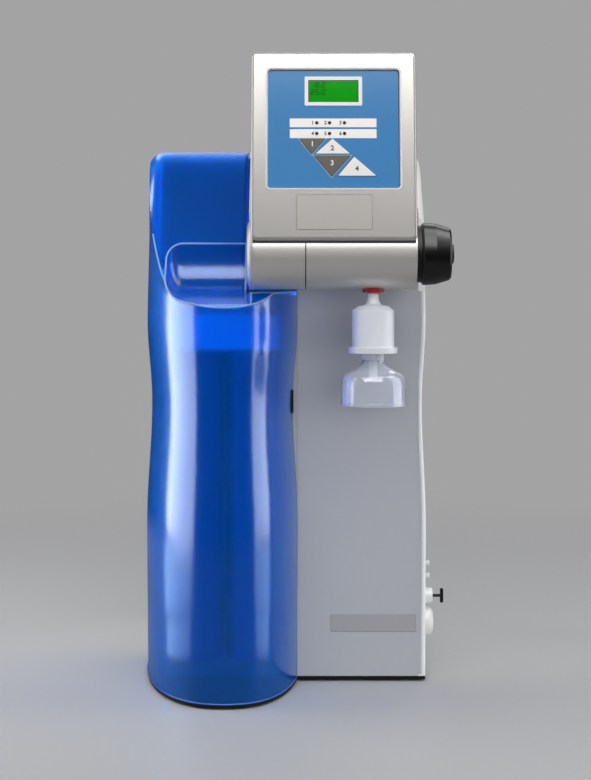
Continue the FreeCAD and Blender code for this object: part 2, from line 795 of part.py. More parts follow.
capsule = turned_z(spigot_x, barrel_y, [
    (spigot_bore, inlet_high),
    (inlet_radius, inlet_high),
    (inlet_radius, capsule_dome_high),
    (capsule_radius * dome_mid_share, capsule_dome_mid),
    (capsule_radius, capsule_dome_low),
    (capsule_radius, flange_high),
    (flange_radius, flange_high),
    (flange_radius, flange_low),
    (spout_radius, flange_low),
    (spout_radius, spout_low),
    (spout_bore, spout_low),
    (spout_bore, flange_high - capsule_wall),
    (capsule_radius - capsule_wall, flange_high - capsule_wall),
    (capsule_radius - capsule_wall, capsule_dome_low - capsule_wall),
    (spigot_bore, capsule_dome_mid - capsule_wall),
])
save(capsule, "filter_capsule")
pleats = 22
pleat_outer = 14.6
pleat_inner = 9.0
pleat_points = []
for step in range(pleats * 2):
    angle = math.pi * step / pleats
    radius = pleat_outer if step % 2 else pleat_inner
    pleat_points.append(vec(spigot_x + radius * math.cos(angle), barrel_y + radius * math.sin(angle),
                            flange_high - capsule_wall))
pleat_face = Part.Face(Part.makePolygon(pleat_points + pleat_points[:1]))
membrane_pack = pleat_face.extrude(vec(0, 0, spigot_tip_z - touch_gap - capsule_wall * 2 - flange_high))
membrane_pack = membrane_pack.cut(rod_z(spigot_x, barrel_y, flange_low, capsule_dome_high, pleat_inner / 2))
save(membrane_pack, "filter_pleats")
bell = turned_z(spigot_x, barrel_y, [
    (spout_radius, flange_low),
    (bell_collar_radius, flange_low),
    (bell_collar_radius, bell_collar_low),
    (bell_radius, bell_shoulder_low),
    (bell_radius, bell_low + bead_height),
    (bell_radius + bead, bell_low + bead_height),
    (bell_radius + bead, bell_low),
    (bell_radius - bell_wall, bell_low),
    (bell_radius - bell_wall, bell_shoulder_low - bell_wall / 2),
    (bell_collar_radius, bell_collar_low - bell_wall * 1.25),
    (spout_radius, bell_collar_low - bell_wall * 1.25),
])
save(bell, "filling_bell")

# Rear panel, set in from the back edges, with its ports, inlet and switch
rear_face_y = rear_y - rear_recess
rear_thickness = 2.0
rear_inner_y = rear_face_y - rear_thickness
inlet_x = 62.0
inlet_z = 62.0
inlet_width = 30.0
inlet_height = 24.0
inlet_depth = 24.0
inlet_flange = 4.0
inlet_flange_thickness = 2.0
socket_width = 24.0
socket_height = 16.0
socket_depth = 16.0
socket_corner = 3.0
pin_half = 1.0
pin_tall = 4.0
pin_pitch = 7.0
pin_reach = 10.0
switch_z = 104.0
switch_width = 21.0
switch_height = 28.0
switch_wall = 2.0
hose_x = [-35.0, -65.0, -95.0]
hose_z = 40.0
hose_radius = 3.0
hose_bore = 1.8
fitting_radius = 8.0
fitting_proud = 16.0
fitting_nut_radius = 11.0
fitting_nut = 4.0
screw_heads = 2.4
screw_head_radius = 3.6
screw_radius = 1.9
screw_inset = 7.0
screw_margin = 19.5
screw_rows = 4
screw_step = (cabinet_top_z - shell_wall - base_z - screw_margin * 2) / (screw_rows - 1)
rear_panel = box(side_inner_x, panel_right, rear_inner_y, rear_face_y, base_z, cabinet_top_z - shell_wall)
inlet_hole = box(inlet_x - inlet_width / 2, inlet_x + inlet_width / 2, rear_inner_y - overrun, rear_y,
                 inlet_z - inlet_height / 2, inlet_z + inlet_height / 2)
switch_hole = box(inlet_x - switch_width / 2, inlet_x + switch_width / 2, rear_inner_y - overrun, rear_y,
                  switch_z - switch_height / 2, switch_z + switch_height / 2)
rear_panel = rear_panel.cut(inlet_hole).cut(switch_hole)
for x in hose_x:
    rear_panel = rear_panel.cut(rod_y(x, rear_inner_y - overrun, rear_y, hose_z, fitting_radius))
screws = []
for x in [side_inner_x + screw_inset, panel_right - screw_inset]:
    for row in range(screw_rows):
        height = base_z + screw_margin + screw_step * row
        rear_panel = rear_panel.cut(rod_y(x, rear_inner_y - overrun, rear_y, height,
                                          screw_radius + touch_gap / 2))
        screws.append(join([
            rod_y(x, rear_inner_y - overrun, rear_face_y + slide_fit, height, screw_radius),
            rod_y(x, rear_face_y, rear_face_y + screw_heads, height, screw_head_radius),
        ]))
save(rear_panel, "rear_panel")
save(Part.makeCompound(screws), "panel_screws")

inlet = join([
    box(inlet_x - inlet_width / 2, inlet_x + inlet_width / 2, rear_face_y - inlet_depth, rear_face_y,
        inlet_z - inlet_height / 2, inlet_z + inlet_height / 2),
    rounded_slab(inlet_x - inlet_width / 2 - inlet_flange, inlet_x + inlet_width / 2 + inlet_flange,
                 rear_face_y, rear_face_y + inlet_flange_thickness, inlet_z - inlet_height / 2 - inlet_flange,
                 inlet_z + inlet_height / 2 + inlet_flange, inlet_flange),
])
inlet = inlet.cut(rounded_slab(inlet_x - socket_width / 2, inlet_x + socket_width / 2,
                               rear_face_y - socket_depth,
                               rear_face_y + overrun, inlet_z - socket_height / 2,
                               inlet_z + socket_height / 2,
                               socket_corner))
pins = [inlet]
for side in [-1, 0, 1]:
    x = inlet_x + side * pin_pitch
    z = inlet_z + (1 - abs(side)) * pin_half
    pins.append(box(x - pin_half, x + pin_half, rear_face_y - socket_depth,
                    rear_face_y - socket_depth + pin_reach,
                    z - pin_tall / 2, z + pin_tall / 2))
save(Part.makeCompound(pins), "power_inlet")

# Rocker switch: a frame in the panel and a rocker on a pivot along X
switch_proud = 1.5
rocker_gap = 0.6
rocker_depth = 10.0
rocker_proud = 3.0
rocker_tilt = 8.0
rocker_pin_radius = 1.2
switch_depth = 14.0
switch_frame = box(inlet_x - switch_width / 2, inlet_x + switch_width / 2, rear_face_y - switch_depth,
                   rear_face_y + switch_proud, switch_z - switch_height / 2, switch_z + switch_height / 2)
switch_rim = box(inlet_x - switch_width / 2 - switch_proud, inlet_x + switch_width / 2 + switch_proud,
                 rear_face_y, rear_face_y + switch_proud, switch_z - switch_height / 2 - switch_proud,
                 switch_z + switch_height / 2 + switch_proud)
switch_frame = join([switch_frame, switch_rim])
switch_frame = switch_frame.cut(box(
    inlet_x - switch_width / 2 + switch_wall, inlet_x + switch_width / 2 - switch_wall,
    rear_face_y - switch_depth + switch_wall, rear_y,
    switch_z - switch_height / 2 + switch_wall, switch_z + switch_height / 2 - switch_wall))
pivot_y = rear_face_y - rocker_depth / 2
pivot_left = inlet_x - switch_width / 2 + switch_wall / 2
pivot_right = inlet_x + switch_width / 2 - switch_wall / 2
switch_frame = switch_frame.cut(rod_x(pivot_left, pivot_right, pivot_y, switch_z,
                                      rocker_pin_radius + slide_fit))
save(switch_frame, "switch_frame")
rocker_half_x = switch_width / 2 - switch_wall - rocker_gap / 2
rocker_half_z = switch_height / 2 - switch_wall - rocker_gap * 3
rocker_notch = 1.2
rocker = slab_x([
    (pivot_y, switch_z - rocker_half_z),
    (rear_face_y + rocker_proud, switch_z - rocker_half_z),
    (rear_face_y + rocker_proud - rocker_notch, switch_z),
    (rear_face_y + rocker_proud, switch_z + rocker_half_z),
    (pivot_y, switch_z + rocker_half_z),
], inlet_x - rocker_half_x, inlet_x + rocker_half_x)
rocker = rocker.fuse(rod_x(pivot_left + slide_fit, pivot_right - slide_fit, pivot_y, switch_z,
                           rocker_pin_radius))
rocker = rocker.removeSplitter()
rocker.rotate(vec(0, pivot_y, switch_z), vec(1, 0, 0), rocker_tilt)
save(rocker, "power_rocker")

fittings = []
for x in hose_x:
    body = join([
        rod_y(x, rear_inner_y - fitting_nut, rear_face_y + fitting_proud, hose_z, fitting_radius - slide_fit),
        rod_y(x, rear_face_y, rear_face_y + fitting_nut, hose_z, fitting_nut_radius),
    ])
    fittings.append(body.cut(rod_y(x, rear_inner_y - overrun, rear_y, hose_z, hose_radius)))
save(Part.makeCompound(fittings), "hose_ports")

# Folded sheet-metal frame: a divider beside the tank and a wall behind the cartridges
wall_left = -118.0
wall_back_y = panel_y + panel_thickness + sheet_thickness
membrane_radius = 30.0
membrane_drop = 54.0
permeate_rise = 27.0
loop_rise = 17.0
loop_back = 14.0
pump_length = 28.0
motor_length = 75.0
module_gap_share = 0.11
pump_gap_share = 0.27
ultra_gap_share = 0.18
free_length = rear_inner_y - wall_back_y - membrane_radius * 2 - pump_length - motor_length
module_front_y = wall_back_y + free_length * module_gap_share
membrane_y = module_front_y + membrane_radius
membrane_top = lip_z - membrane_drop
permeate_z = membrane_top + permeate_rise
loop_z = permeate_z + loop_rise
loop_y = panel_y + panel_thickness + loop_back
divider = box(panel_left, panel_left + sheet_thickness, panel_y + panel_thickness, rear_inner_y,
              base_z, lip_z)
divider = divider.cut(rod_x(panel_left - overrun, panel_left + overrun, membrane_y, permeate_z,
                            hose_radius + touch_gap))
divider = divider.cut(rod_x(panel_left - overrun, panel_left + overrun, loop_y, loop_z,
                            hose_radius + touch_gap))
cartridge_wall = box(wall_left, panel_left + sheet_thickness, panel_y + panel_thickness, wall_back_y,
                     base_z, lip_z)

# Two cartridges hang from one manifold on that wall
cartridge_radius = 22.8
cartridge_y = panel_y - touch_gap - cartridge_radius
cartridge_low = 24.0
cartridge_drop = 40.0
cartridge_high = lip_z - cartridge_drop
cartridge_round = 5.0
cartridge_places = {"pretreatment_cartridge": -84.0, "polishing_cartridge": -37.0}
nipple_radius = 5.0
nipple_length = 10.0
nipple_high = cartridge_high + nipple_length
manifold_roof = 22.0
manifold_front = 16.0
manifold_left = -106.0
manifold_right = -14.0
manifold = box(manifold_left, manifold_right, cartridge_y - manifold_front, panel_y + panel_thickness,
               nipple_high - manifold_front / 2, nipple_high + manifold_roof)
for name, x in cartridge_places.items():
    body = rod_z(x, cartridge_y, cartridge_low, cartridge_high, cartridge_radius)
    ends = [edge for edge in body.Edges if abs(edge.BoundBox.ZLength) < touch_gap]
    body = body.makeFillet(cartridge_round, ends)
    body = join([body, rod_z(x, cartridge_y, cartridge_high - overrun, nipple_high, nipple_radius)])
    save(body, name)
    manifold = manifold.cut(rod_z(x, cartridge_y, cartridge_high - overrun, nipple_high,
                                  nipple_radius + slide_fit))
save(manifold, "cartridge_manifold")

# Water tank with lid, air vent, level stem and float
tank_left_x = 10.0
tank_back_gap = 46.0
tank_back_y = rear_inner_y - tank_back_gap
tank_over_lip = 12.0
tank_top_z = lip_z + tank_over_lip
tank_wall = 3.0
lid_thickness = 5.0
vent_radius = 18.0
vent_height = 46.0
vent_inset = 30.0
vent_y = tank_back_y - vent_inset
stem_x = 58.0
stem_y = (tank_front_y + tank_back_y) / 2
stem_rod_radius = 4.0
stem_nut_radius = 10.0
stem_nut = 8.0
float_radius = 16.0
float_height = 22.0
float_rest_z = 40.0
stem_low = 20.0
tank = box(tank_left_x, tank_right_x, tank_front_y, tank_back_y, base_z, tank_top_z)
tank = tank.cut(box(tank_left_x + tank_wall, tank_right_x - tank_wall, tank_front_y + tank_wall,
                    tank_back_y - tank_wall, base_z + tank_wall, tank_top_z + overrun))
for height in [tap_z, drain_z]:
    tank = tank.cut(rod_x(tank_right_x - overrun, tank_right_x + overrun, port_y, height,
                          tap_pipe_radius / 2))
tank = tank.cut(rod_x(tank_left_x - overrun, tank_left_x + overrun, membrane_y, permeate_z, hose_bore))
save(tank, "tank_body")
lid = box(tank_left_x, tank_right_x, tank_front_y, tank_back_y, tank_top_z, tank_top_z + lid_thickness)
lid = lid.cut(rod_z(stem_x, stem_y, tank_top_z - overrun, tank_top_z + overrun * 2,
                    stem_rod_radius + slide_fit))
save(lid, "tank_lid")
lid_top = tank_top_z + lid_thickness
save(rod_z(stem_x, vent_y, lid_top, lid_top + vent_height, vent_radius), "vent_filter")
stop_radius = 7.0
stop_height = 3.0
stem = join([
    rod_z(stem_x, stem_y, stem_low, lid_top + stem_nut, stem_rod_radius),
    rod_z(stem_x, stem_y, lid_top, lid_top + stem_nut, stem_nut_radius),
    rod_z(stem_x, stem_y, float_rest_z - stop_height, float_rest_z, stop_radius),
])
save(stem, "level_stem")
level_float = rod_z(stem_x, stem_y, float_rest_z + touch_gap, float_rest_z + float_height, float_radius)
level_float = level_float.cut(rod_z(stem_x, stem_y, stem_low, tank_top_z, stem_rod_radius + touch_gap))
save(level_float, "level_float")

# Booster pump: a pump head and a motor on the base plate
pump_x = -85.0
pump_z = 52.0
pump_half = 26.0
pump_front_y = membrane_y + membrane_radius + free_length * pump_gap_share
pump_split_y = pump_front_y + pump_length
motor_back_y = pump_split_y + motor_length
motor_radius = 26.0
motor_wall = 3.0
rotor_radius = 18.0
shaft_radius = 3.0
saddle_half = 20.0
pump = box(pump_x - pump_half, pump_x + pump_half, pump_front_y, pump_split_y, base_z, pump_z + pump_half)
pump = pump.cut(rod_y(pump_x, pump_split_y - saddle_half / 2, pump_split_y + overrun, pump_z,
                      shaft_radius + slide_fit))
save(pump, "pump_head")
motor = rod_y(pump_x, pump_split_y, motor_back_y, pump_z, motor_radius)
motor = motor.cut(rod_y(pump_x, pump_split_y + motor_wall, motor_back_y - motor_wall, pump_z,
                        rotor_radius + motor_wall))
motor = motor.cut(rod_y(pump_x, pump_split_y - overrun, motor_back_y - motor_wall / 2, pump_z,
                        shaft_radius + slide_fit))
save(motor, "pump_motor")
rotor = join([
    rod_y(pump_x, pump_split_y + motor_wall * 2, motor_back_y - motor_wall * 2, pump_z, rotor_radius),
    rod_y(pump_x, pump_split_y - saddle_half / 2 + touch_gap, motor_back_y - motor_wall / 2 - touch_gap,
          pump_z,
          shaft_radius),
])
save(rotor, "pump_rotor")
saddle = box(pump_x - saddle_half, pump_x + saddle_half, pump_split_y + motor_wall, motor_back_y - motor_wall,
             base_z, pump_z)
saddle = saddle.cut(rod_y(pump_x, pump_split_y, motor_back_y, pump_z, motor_radius))
save(join([base_plate, saddle]), "base_plate")

# Purification modules standing in the left half
membrane_x = -88.0
housing_x = -35.0
housing_radius = 17.0
housing_drop = 62.0
housing_wall = 2.0
housing_y = module_front_y + housing_radius
housing_top = lip_z - housing_drop
lamp_glass_radius = 8.0
ultra_x = -32.0
ultra_radius = 19.0
ultra_drop = 92.0
ultra_y = housing_y + housing_radius + ultra_radius + free_length * ultra_gap_share
ultra_top = lip_z - ultra_drop
outlet_radius = 5.0
outlet_height = 12.0
vessel = rod_z(membrane_x, membrane_y, base_z, membrane_top, membrane_radius)
vessel_ends = [edge for edge in vessel.Edges if edge.BoundBox.ZMin > membrane_top - touch_gap]
save(vessel.makeFillet(cartridge_round, vessel_ends), "osmosis_vessel")
lamp_low = base_z + housing_wall
lamp_high = housing_top - housing_wall
lamp_housing = rod_z(housing_x, housing_y, base_z, housing_top, housing_radius)
lamp_housing = lamp_housing.cut(rod_z(housing_x, housing_y, lamp_low, lamp_high,
                                      housing_radius - housing_wall))
save(lamp_housing, "lamp_housing")
save(rod_z(housing_x, housing_y, lamp_low, lamp_high, lamp_glass_radius), "uv_lamp")
ultra = join([
    rod_z(ultra_x, ultra_y, base_z, ultra_top, ultra_radius),
    rod_z(ultra_x, ultra_y, ultra_top, ultra_top + outlet_height, outlet_radius),
])
save(ultra, "ultrafilter")

# Solenoid valve on the feed line, and the electrics on the rear panel and divider
valve_half = 13.0
feed_valve_gap = 34.0
feed_valve_depth = 30.0
feed_valve_back = rear_inner_y - feed_valve_gap
feed_valve_front = feed_valve_back - feed_valve_depth
feed_valve_high = 72.0
feed_x = hose_x[0]
feed_valve = box(feed_x - valve_half, feed_x + valve_half, feed_valve_front, feed_valve_back,
                 base_z, feed_valve_high)
save(feed_valve, "feed_valve")
supply_left = -112.0
supply_right = -22.0
supply_depth = 50.0
supply_drop = 22.0
supply_height = 120.0
supply_high = lip_z - supply_drop
save(box(supply_left, supply_right, rear_inner_y - supply_depth, rear_inner_y,
         supply_high - supply_height, supply_high), "power_supply")
circuit_gap = 61.0
circuit_length = 85.0
circuit_back = rear_inner_y - circuit_gap
circuit_front = circuit_back - circuit_length
circuit_drop = 32.0
circuit_height = 180.0
circuit_high = lip_z - circuit_drop
circuit_low = circuit_high - circuit_height
circuit_stand = 8.0
stand_inset = 10.0
circuit_right = panel_left - circuit_stand
save(box(circuit_right - board_thickness, circuit_right, circuit_front, circuit_back, circuit_low,
         circuit_high),
     "control_board")
frame_pieces = [divider, cartridge_wall]
for y in [circuit_front + stand_inset, circuit_back - stand_inset]:
    for height in [circuit_low + stand_inset, circuit_high - stand_inset]:
        frame_pieces.append(rod_x(circuit_right, panel_left + sheet_thickness, y, height, post_radius))
save(join(frame_pieces), "inner_frame")


def tube(points, radius):
    # Straight runs joined by tangent arcs as large as the shorter run allows
    corners = [vec(*point) for point in points]
    edges = []
    start = corners[0]
    length = 0.0
    for before, corner, after in zip(corners, corners[1:], corners[2:]):
        run_in = corner - before
        run_out = after - corner
        shorter = min(run_in.Length, run_out.Length)
        turn = run_in.getAngle(run_out)
        bend = tube_bend_share * shorter / math.tan(turn / 2)
        back = bend * math.tan(turn / 2)
        run_in.normalize()
        run_out.normalize()
        first = corner - run_in * back
        last = corner + run_out * back
        inward = run_out - run_in
        inward.normalize()
        middle = corner + inward * (bend / math.cos(turn / 2) - bend)
        edges.append(Part.makeLine(start, first))
        edges.append(Part.Arc(first, middle, last).toShape())
        length += edges[-2].Length + edges[-1].Length
        start = last
        print("tube bend radius", round(bend, 1))
    edges.append(Part.makeLine(start, corners[-1]))
    length += edges[-1].Length
    path = Part.Wire(edges)
    direction = corners[1] - corners[0]
    outer_ring = Part.Wire(Part.makeCircle(radius, corners[0], direction))
    solid = path.makePipeShell([outer_ring], True, False)
    print("tube volume over section times length", round(solid.Volume / (math.pi * radius ** 2 * length), 4))
    return solid


# Water lines: feed, pump outlet, permeate into the tank and product water to the head
tube_bend_share = 0.45
head_line_drop = 2.4
head_line_z = barrel_z - head_line_drop
pump_side = pump_x + pump_half
feed_turn_y = pump_split_y - hose_radius * 3
line_up_x = 55.0
lines = [
    tube([(feed_x, rear_inner_y - fitting_nut, hose_z), (feed_x, feed_valve_back, hose_z)], hose_radius),
    tube([(feed_x, feed_valve_front, hose_z), (feed_x, feed_turn_y, hose_z),
          (pump_side, feed_turn_y, hose_z)],
         hose_radius),
    tube([(pump_x, pump_front_y, pump_z), (pump_x, membrane_y + membrane_radius, pump_z)], hose_radius),
    tube([(membrane_x, membrane_y, membrane_top), (membrane_x, membrane_y, permeate_z),
          (tank_left_x, membrane_y, permeate_z)], hose_radius),
    tube([(ultra_x, ultra_y, ultra_top + outlet_height), (ultra_x, ultra_y, loop_z),
          (ultra_x, loop_y, loop_z), (line_up_x, loop_y, loop_z), (line_up_x, loop_y, head_line_z),
          (line_up_x, barrel_y + barrel_bore + touch_gap, head_line_z)], hose_radius),
]
save(Part.makeCompound(lines), "water_lines")
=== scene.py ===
import json
import math
import bmesh
import bpy
from mathutils import Matrix, Vector
from mathutils.bvhtree import BVHTree
from mathutils.geometry import convex_hull_2d


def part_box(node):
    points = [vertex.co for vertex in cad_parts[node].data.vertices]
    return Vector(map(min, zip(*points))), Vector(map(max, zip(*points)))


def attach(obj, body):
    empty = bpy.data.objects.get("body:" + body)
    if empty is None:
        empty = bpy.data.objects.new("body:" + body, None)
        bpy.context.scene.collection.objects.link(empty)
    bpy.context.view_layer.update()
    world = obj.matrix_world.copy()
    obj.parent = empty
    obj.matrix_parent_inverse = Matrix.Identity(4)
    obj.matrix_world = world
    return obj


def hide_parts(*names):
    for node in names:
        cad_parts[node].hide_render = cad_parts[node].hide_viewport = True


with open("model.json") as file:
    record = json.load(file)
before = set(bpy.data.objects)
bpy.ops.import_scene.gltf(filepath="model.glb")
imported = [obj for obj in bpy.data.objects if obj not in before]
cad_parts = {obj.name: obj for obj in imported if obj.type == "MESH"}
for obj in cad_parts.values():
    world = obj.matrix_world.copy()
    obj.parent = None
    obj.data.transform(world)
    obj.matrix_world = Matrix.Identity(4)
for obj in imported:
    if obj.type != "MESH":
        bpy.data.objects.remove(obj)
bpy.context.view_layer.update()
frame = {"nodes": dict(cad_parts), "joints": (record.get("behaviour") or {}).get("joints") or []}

# Base plate and feet. The base is a black tray moulded in glass-filled plastic, with a saddle for the pump;
# four soft rubber pads are glued under it. Only its dark edge shows, as a line under the cabinet.


def paint(hex_colour):
    """An sRGB hex colour as the linear colour that a shader takes."""
    shades = [int(hex_colour[place:place + 2], 16) / 255 for place in (1, 3, 5)]
    return [shade / 12.92 if shade <= 0.04045 else ((shade + 0.055) / 1.055) ** 2.4 for shade in shades] + [1.0]


def add(tree, kind, sockets, **settings):
    """Adds one node: its own settings, and a number, colour or link for each socket named."""
    node = tree.nodes.new(kind)
    for name, value in settings.items():
        setattr(node, name, value)
    for name, value in sockets.items():
        if isinstance(value, bpy.types.NodeSocket):
            tree.links.new(value, node.inputs[name])
        else:
            node.inputs[name].default_value = value
    return node


def new_material(name):
    material = bpy.data.materials.new(name)
    material.use_nodes = True
    material.node_tree.nodes.clear()
    return material, material.node_tree


drift_size = 0.12
speck_strength = 0.1
speck_spread = 0.06


def moulded_plastic(name, colour, shade, roughness, grain, **looks):
    """Injection-moulded plastic: colour that drifts slowly, and the fine grain that the mould leaves."""
    material, tree = new_material(name)
    place = add(tree, "ShaderNodeTexCoord", {}).outputs["Object"]
    drift = add(tree, "ShaderNodeTexNoise", {"Vector": place, "Scale": 1 / drift_size, "Detail": 2.0})
    tone = add(tree, "ShaderNodeMix", {0: drift.outputs["Fac"], 6: paint(colour), 7: paint(shade)},
               data_type="RGBA")
    speck = add(tree, "ShaderNodeTexNoise", {"Vector": place, "Scale": 1 / grain, "Detail": 3.0})
    rough = add(tree, "ShaderNodeMapRange", {"Value": speck.outputs["Fac"], "To Min": roughness - speck_spread,
                                             "To Max": roughness + speck_spread})
    bump = add(tree, "ShaderNodeBump", {"Height": speck.outputs["Fac"], "Strength": speck_strength,
                                        "Distance": grain / 30})
    shader = add(tree, "ShaderNodeBsdfPrincipled", {
        "Base Color": tone.outputs[2], "Roughness": rough.outputs["Result"], "Normal": bump.outputs["Normal"],
        "IOR": 1.54})
    for socket, value in looks.items():
        shader.inputs[socket.replace("_", " ")].default_value = value
    add(tree, "ShaderNodeOutputMaterial", {"Surface": shader.outputs["BSDF"]})
    return material


def dress(node, material):
    """Gives a carried-over part its finish."""
    slots = frame["nodes"][node].data.materials
    slots.clear()
    slots.append(material)


black_plastic = moulded_plastic("black glass-filled nylon, moulded", "#08090a", "#0d0e0f", 0.42, 0.0012,
                                Specular_IOR_Level=0.3)
# Real rubber on the feet and plug seals; further down the same black is painted shade, as dark strips in the
# display seams and round the keypad and the window.
black_rubber_and_shade = moulded_plastic("black rubber, moulded", "#15161a", "#1f2022", 0.75, 0.0008)
dress("base_plate", black_plastic)
dress("rubber_feet", black_rubber_and_shade)

# Folded inner frame. Bright zinc-plated sheet steel, bent once, that stands on the base beside the tank
# and behind the cartridges. Rolling leaves fine lines along the sheet.


def rolled_metal(name, colour, shade, roughness, stroke, along):
    """Sheet or turned metal: fine lines a stroke wide, drawn out along one axis."""
    material, tree = new_material(name)
    place = add(tree, "ShaderNodeTexCoord", {}).outputs["Object"]
    stretch = [1 / stroke] * 3
    stretch[along] = 1 / (stroke * 60)
    lines_at = add(tree, "ShaderNodeMapping", {"Vector": place, "Scale": stretch})
    lines = add(tree, "ShaderNodeTexNoise", {"Vector": lines_at.outputs["Vector"], "Scale": 1.0, "Detail": 3.0})
    tone = add(tree, "ShaderNodeMix", {0: lines.outputs["Fac"], 6: paint(colour), 7: paint(shade)},
               data_type="RGBA")
    rough = add(tree, "ShaderNodeMapRange", {"Value": lines.outputs["Fac"], "To Min": roughness - speck_spread,
                                             "To Max": roughness + speck_spread})
    bump = add(tree, "ShaderNodeBump", {"Height": lines.outputs["Fac"], "Strength": speck_strength,
                                        "Distance": stroke / 20})
    shader = add(tree, "ShaderNodeBsdfPrincipled", {
        "Base Color": tone.outputs[2], "Metallic": 1.0, "Roughness": rough.outputs["Result"],
        "Normal": bump.outputs["Normal"]})
    add(tree, "ShaderNodeOutputMaterial", {"Surface": shader.outputs["BSDF"]})
    return material


zinc_sheet = rolled_metal("zinc-plated sheet steel, rolled", "#b4b8bc", "#989ca0", 0.38, 0.0012, 2)
bright_steel = rolled_metal("stainless steel, turned", "#c6c7c9", "#a6a8aa", 0.26, 0.0006, 0)
dress("inner_frame", zinc_sheet)

# Tank, lid, vent, level stem and float. Natural polypropylene, welded: milky, waxy and a little see-through,
# because the plastic scatters the light inside its wall.
natural_plastic = moulded_plastic("natural polypropylene, welded", "#e4e4dc", "#d6d7d0", 0.38, 0.0016,
                                  Subsurface_Weight=0.25, Subsurface_Scale=0.004)
white_acetal = moulded_plastic("white acetal, machined", "#ececea", "#e0e1e0", 0.34, 0.0010)
dress("tank_body", natural_plastic)
dress("level_float", natural_plastic)
for node in ("tank_lid", "vent_filter", "level_stem"):
    dress(node, white_acetal)

# Booster pump, and the purification modules that stand beside it. The pump head is moulded in black, its motor
# can is enamelled steel, and the modules are white polypropylene tubes with a stainless lamp housing.
motor_enamel = moulded_plastic("dark enamel on drawn steel", "#3a3e44", "#2e3136", 0.3, 0.0014, Coat_Weight=0.3)
module_white = moulded_plastic("white polypropylene, moulded", "#e6e8ea", "#d8dadd", 0.36, 0.0012)
lamp_quartz = moulded_plastic("quartz glass, drawn", "#eef0ff", "#e2e6fb", 0.08, 0.004, Transmission_Weight=0.8)
dress("pump_head", black_plastic)
dress("pump_motor", motor_enamel)
dress("pump_rotor", bright_steel)
dress("osmosis_vessel", module_white)
dress("ultrafilter", module_white)
dress("lamp_housing", bright_steel)
dress("uv_lamp", lamp_quartz)

# Electrics. A solenoid valve in black, a power supply in a zinc-plated box and green circuit boards:
# glass-fibre laminate under a glossy solder mask, with paler copper tracks showing through it.


def circuit_board(name, colour, track_colour, pitch):
    """Solder mask over straight copper tracks a few tenths of a millimetre wide."""
    material, tree = new_material(name)
    place = add(tree, "ShaderNodeTexCoord", {}).outputs["Object"]
    tracks = add(tree, "ShaderNodeTexBrick", {"Vector": place, "Color1": paint(colour), "Color2": paint(colour),
                                              "Mortar": paint(track_colour), "Scale": 1 / pitch,
                                              "Mortar Size": 0.04})
    shader = add(tree, "ShaderNodeBsdfPrincipled", {"Base Color": tracks.outputs["Color"], "Roughness": 0.22,
                                                    "IOR": 1.52, "Coat Weight": 0.3})
    add(tree, "ShaderNodeOutputMaterial", {"Surface": shader.outputs["BSDF"]})
    return material


board_laminate = circuit_board("green glass-fibre laminate, solder masked", "#0d4a2c", "#2c7a4c", 0.006)
dress("control_board", board_laminate)
dress("display_board", board_laminate)
dress("power_supply", zinc_sheet)
dress("feed_valve", black_plastic)

# Water lines. Natural polyethylene tube, 6 mm across, extruded: smooth, whitish and half clear.
line_plastic = moulded_plastic("polyethylene tube, extruded", "#dfe6ea", "#d3dce2", 0.24, 0.002,
                               Transmission_Weight=0.35)
dress("water_lines", line_plastic)

# Cartridges on their manifold. Dark blue polypropylene bodies with a bare pale label round each, hung from
# a white moulded manifold. They show as dark shapes through the blue cover.
cartridge_plastic = moulded_plastic("dark blue polypropylene, moulded", "#0d1768", "#0b125a", 0.35, 0.0012)
dress("pretreatment_cartridge", cartridge_plastic)
dress("polishing_cartridge", cartridge_plastic)
dress("cartridge_manifold", module_white)

# Cabinet shells. White ABS, injection moulded with a fine satin grain; the side walls swell and narrow in
# a long wave, and the top housing closes the slanted top behind the cover.
shell_plastic = moulded_plastic("white ABS, moulded satin", "#f4f4f3", "#eeeeed", 0.34, 0.0011)
for node in ("right_shell", "left_shell", "top_housing"):
    dress(node, shell_plastic)

# Front panel. A flat plate moulded in grey ABS and held to the base from behind. Its grain is finer and
# glossier than the shells', so light runs down it in a long gradient.
panel_plastic = moulded_plastic("grey ABS, moulded half gloss", "#b6b8ba", "#aeb0b2", 0.3, 0.0009)
dress("front_panel", panel_plastic)

# Badge on the front panel. A bare strip of satin foil on a thin plastic plate, glued into the recess that is
# moulded for it, so that only its softened edge catches the light.


def in_scene(name, data):
    """Puts data into the scene as an object at the origin."""
    thing = bpy.data.objects.new(name, data)
    bpy.context.scene.collection.objects.link(thing)
    return thing


def begin_piece(name, mesh, material, body):
    """Makes a mesh a piece of the object that rides on a body."""
    mesh.materials.clear()
    mesh.materials.append(material)
    piece = in_scene(name, mesh)
    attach(piece, body)
    return piece


def ring_faces(rings, around, closed=False):
    """The faces between rings of points that follow each other in one list."""
    faces = []
    for ring in range(rings if closed else rings - 1):
        here, there = ring * around, (ring + 1) % rings * around
        for step in range(around):
            after = (step + 1) % around
            faces.append((here + step, here + after, there + after, there + step))
    return faces


def end_faces(rings, around):
    """The faces that close the first ring and the last one."""
    return [tuple(reversed(range(around))), tuple(range(around * (rings - 1), around * rings))]


def tidy_faces(mesh, weld=0.0):
    """Joins points that lie together and turns every face outwards."""
    work = bmesh.new()
    work.from_mesh(mesh)
    if weld:
        bmesh.ops.remove_doubles(work, verts=work.verts, dist=weld)
    bmesh.ops.recalc_face_normals(work, faces=work.faces)
    work.to_mesh(mesh)
    work.free()


def solid_mesh(name, points, faces, weld=0.0):
    mesh = bpy.data.meshes.new(name)
    mesh.from_pydata(points, [], faces)
    tidy_faces(mesh, weld)
    return mesh


def rounded_corners(left, right, low, high, corner):
    """The centres of a rectangle's rounded corners, each with the quarter turn that it starts at."""
    return [(right - corner, high - corner, 0), (left + corner, high - corner, 1),
            (left + corner, low + corner, 2), (right - corner, low + corner, 3)]


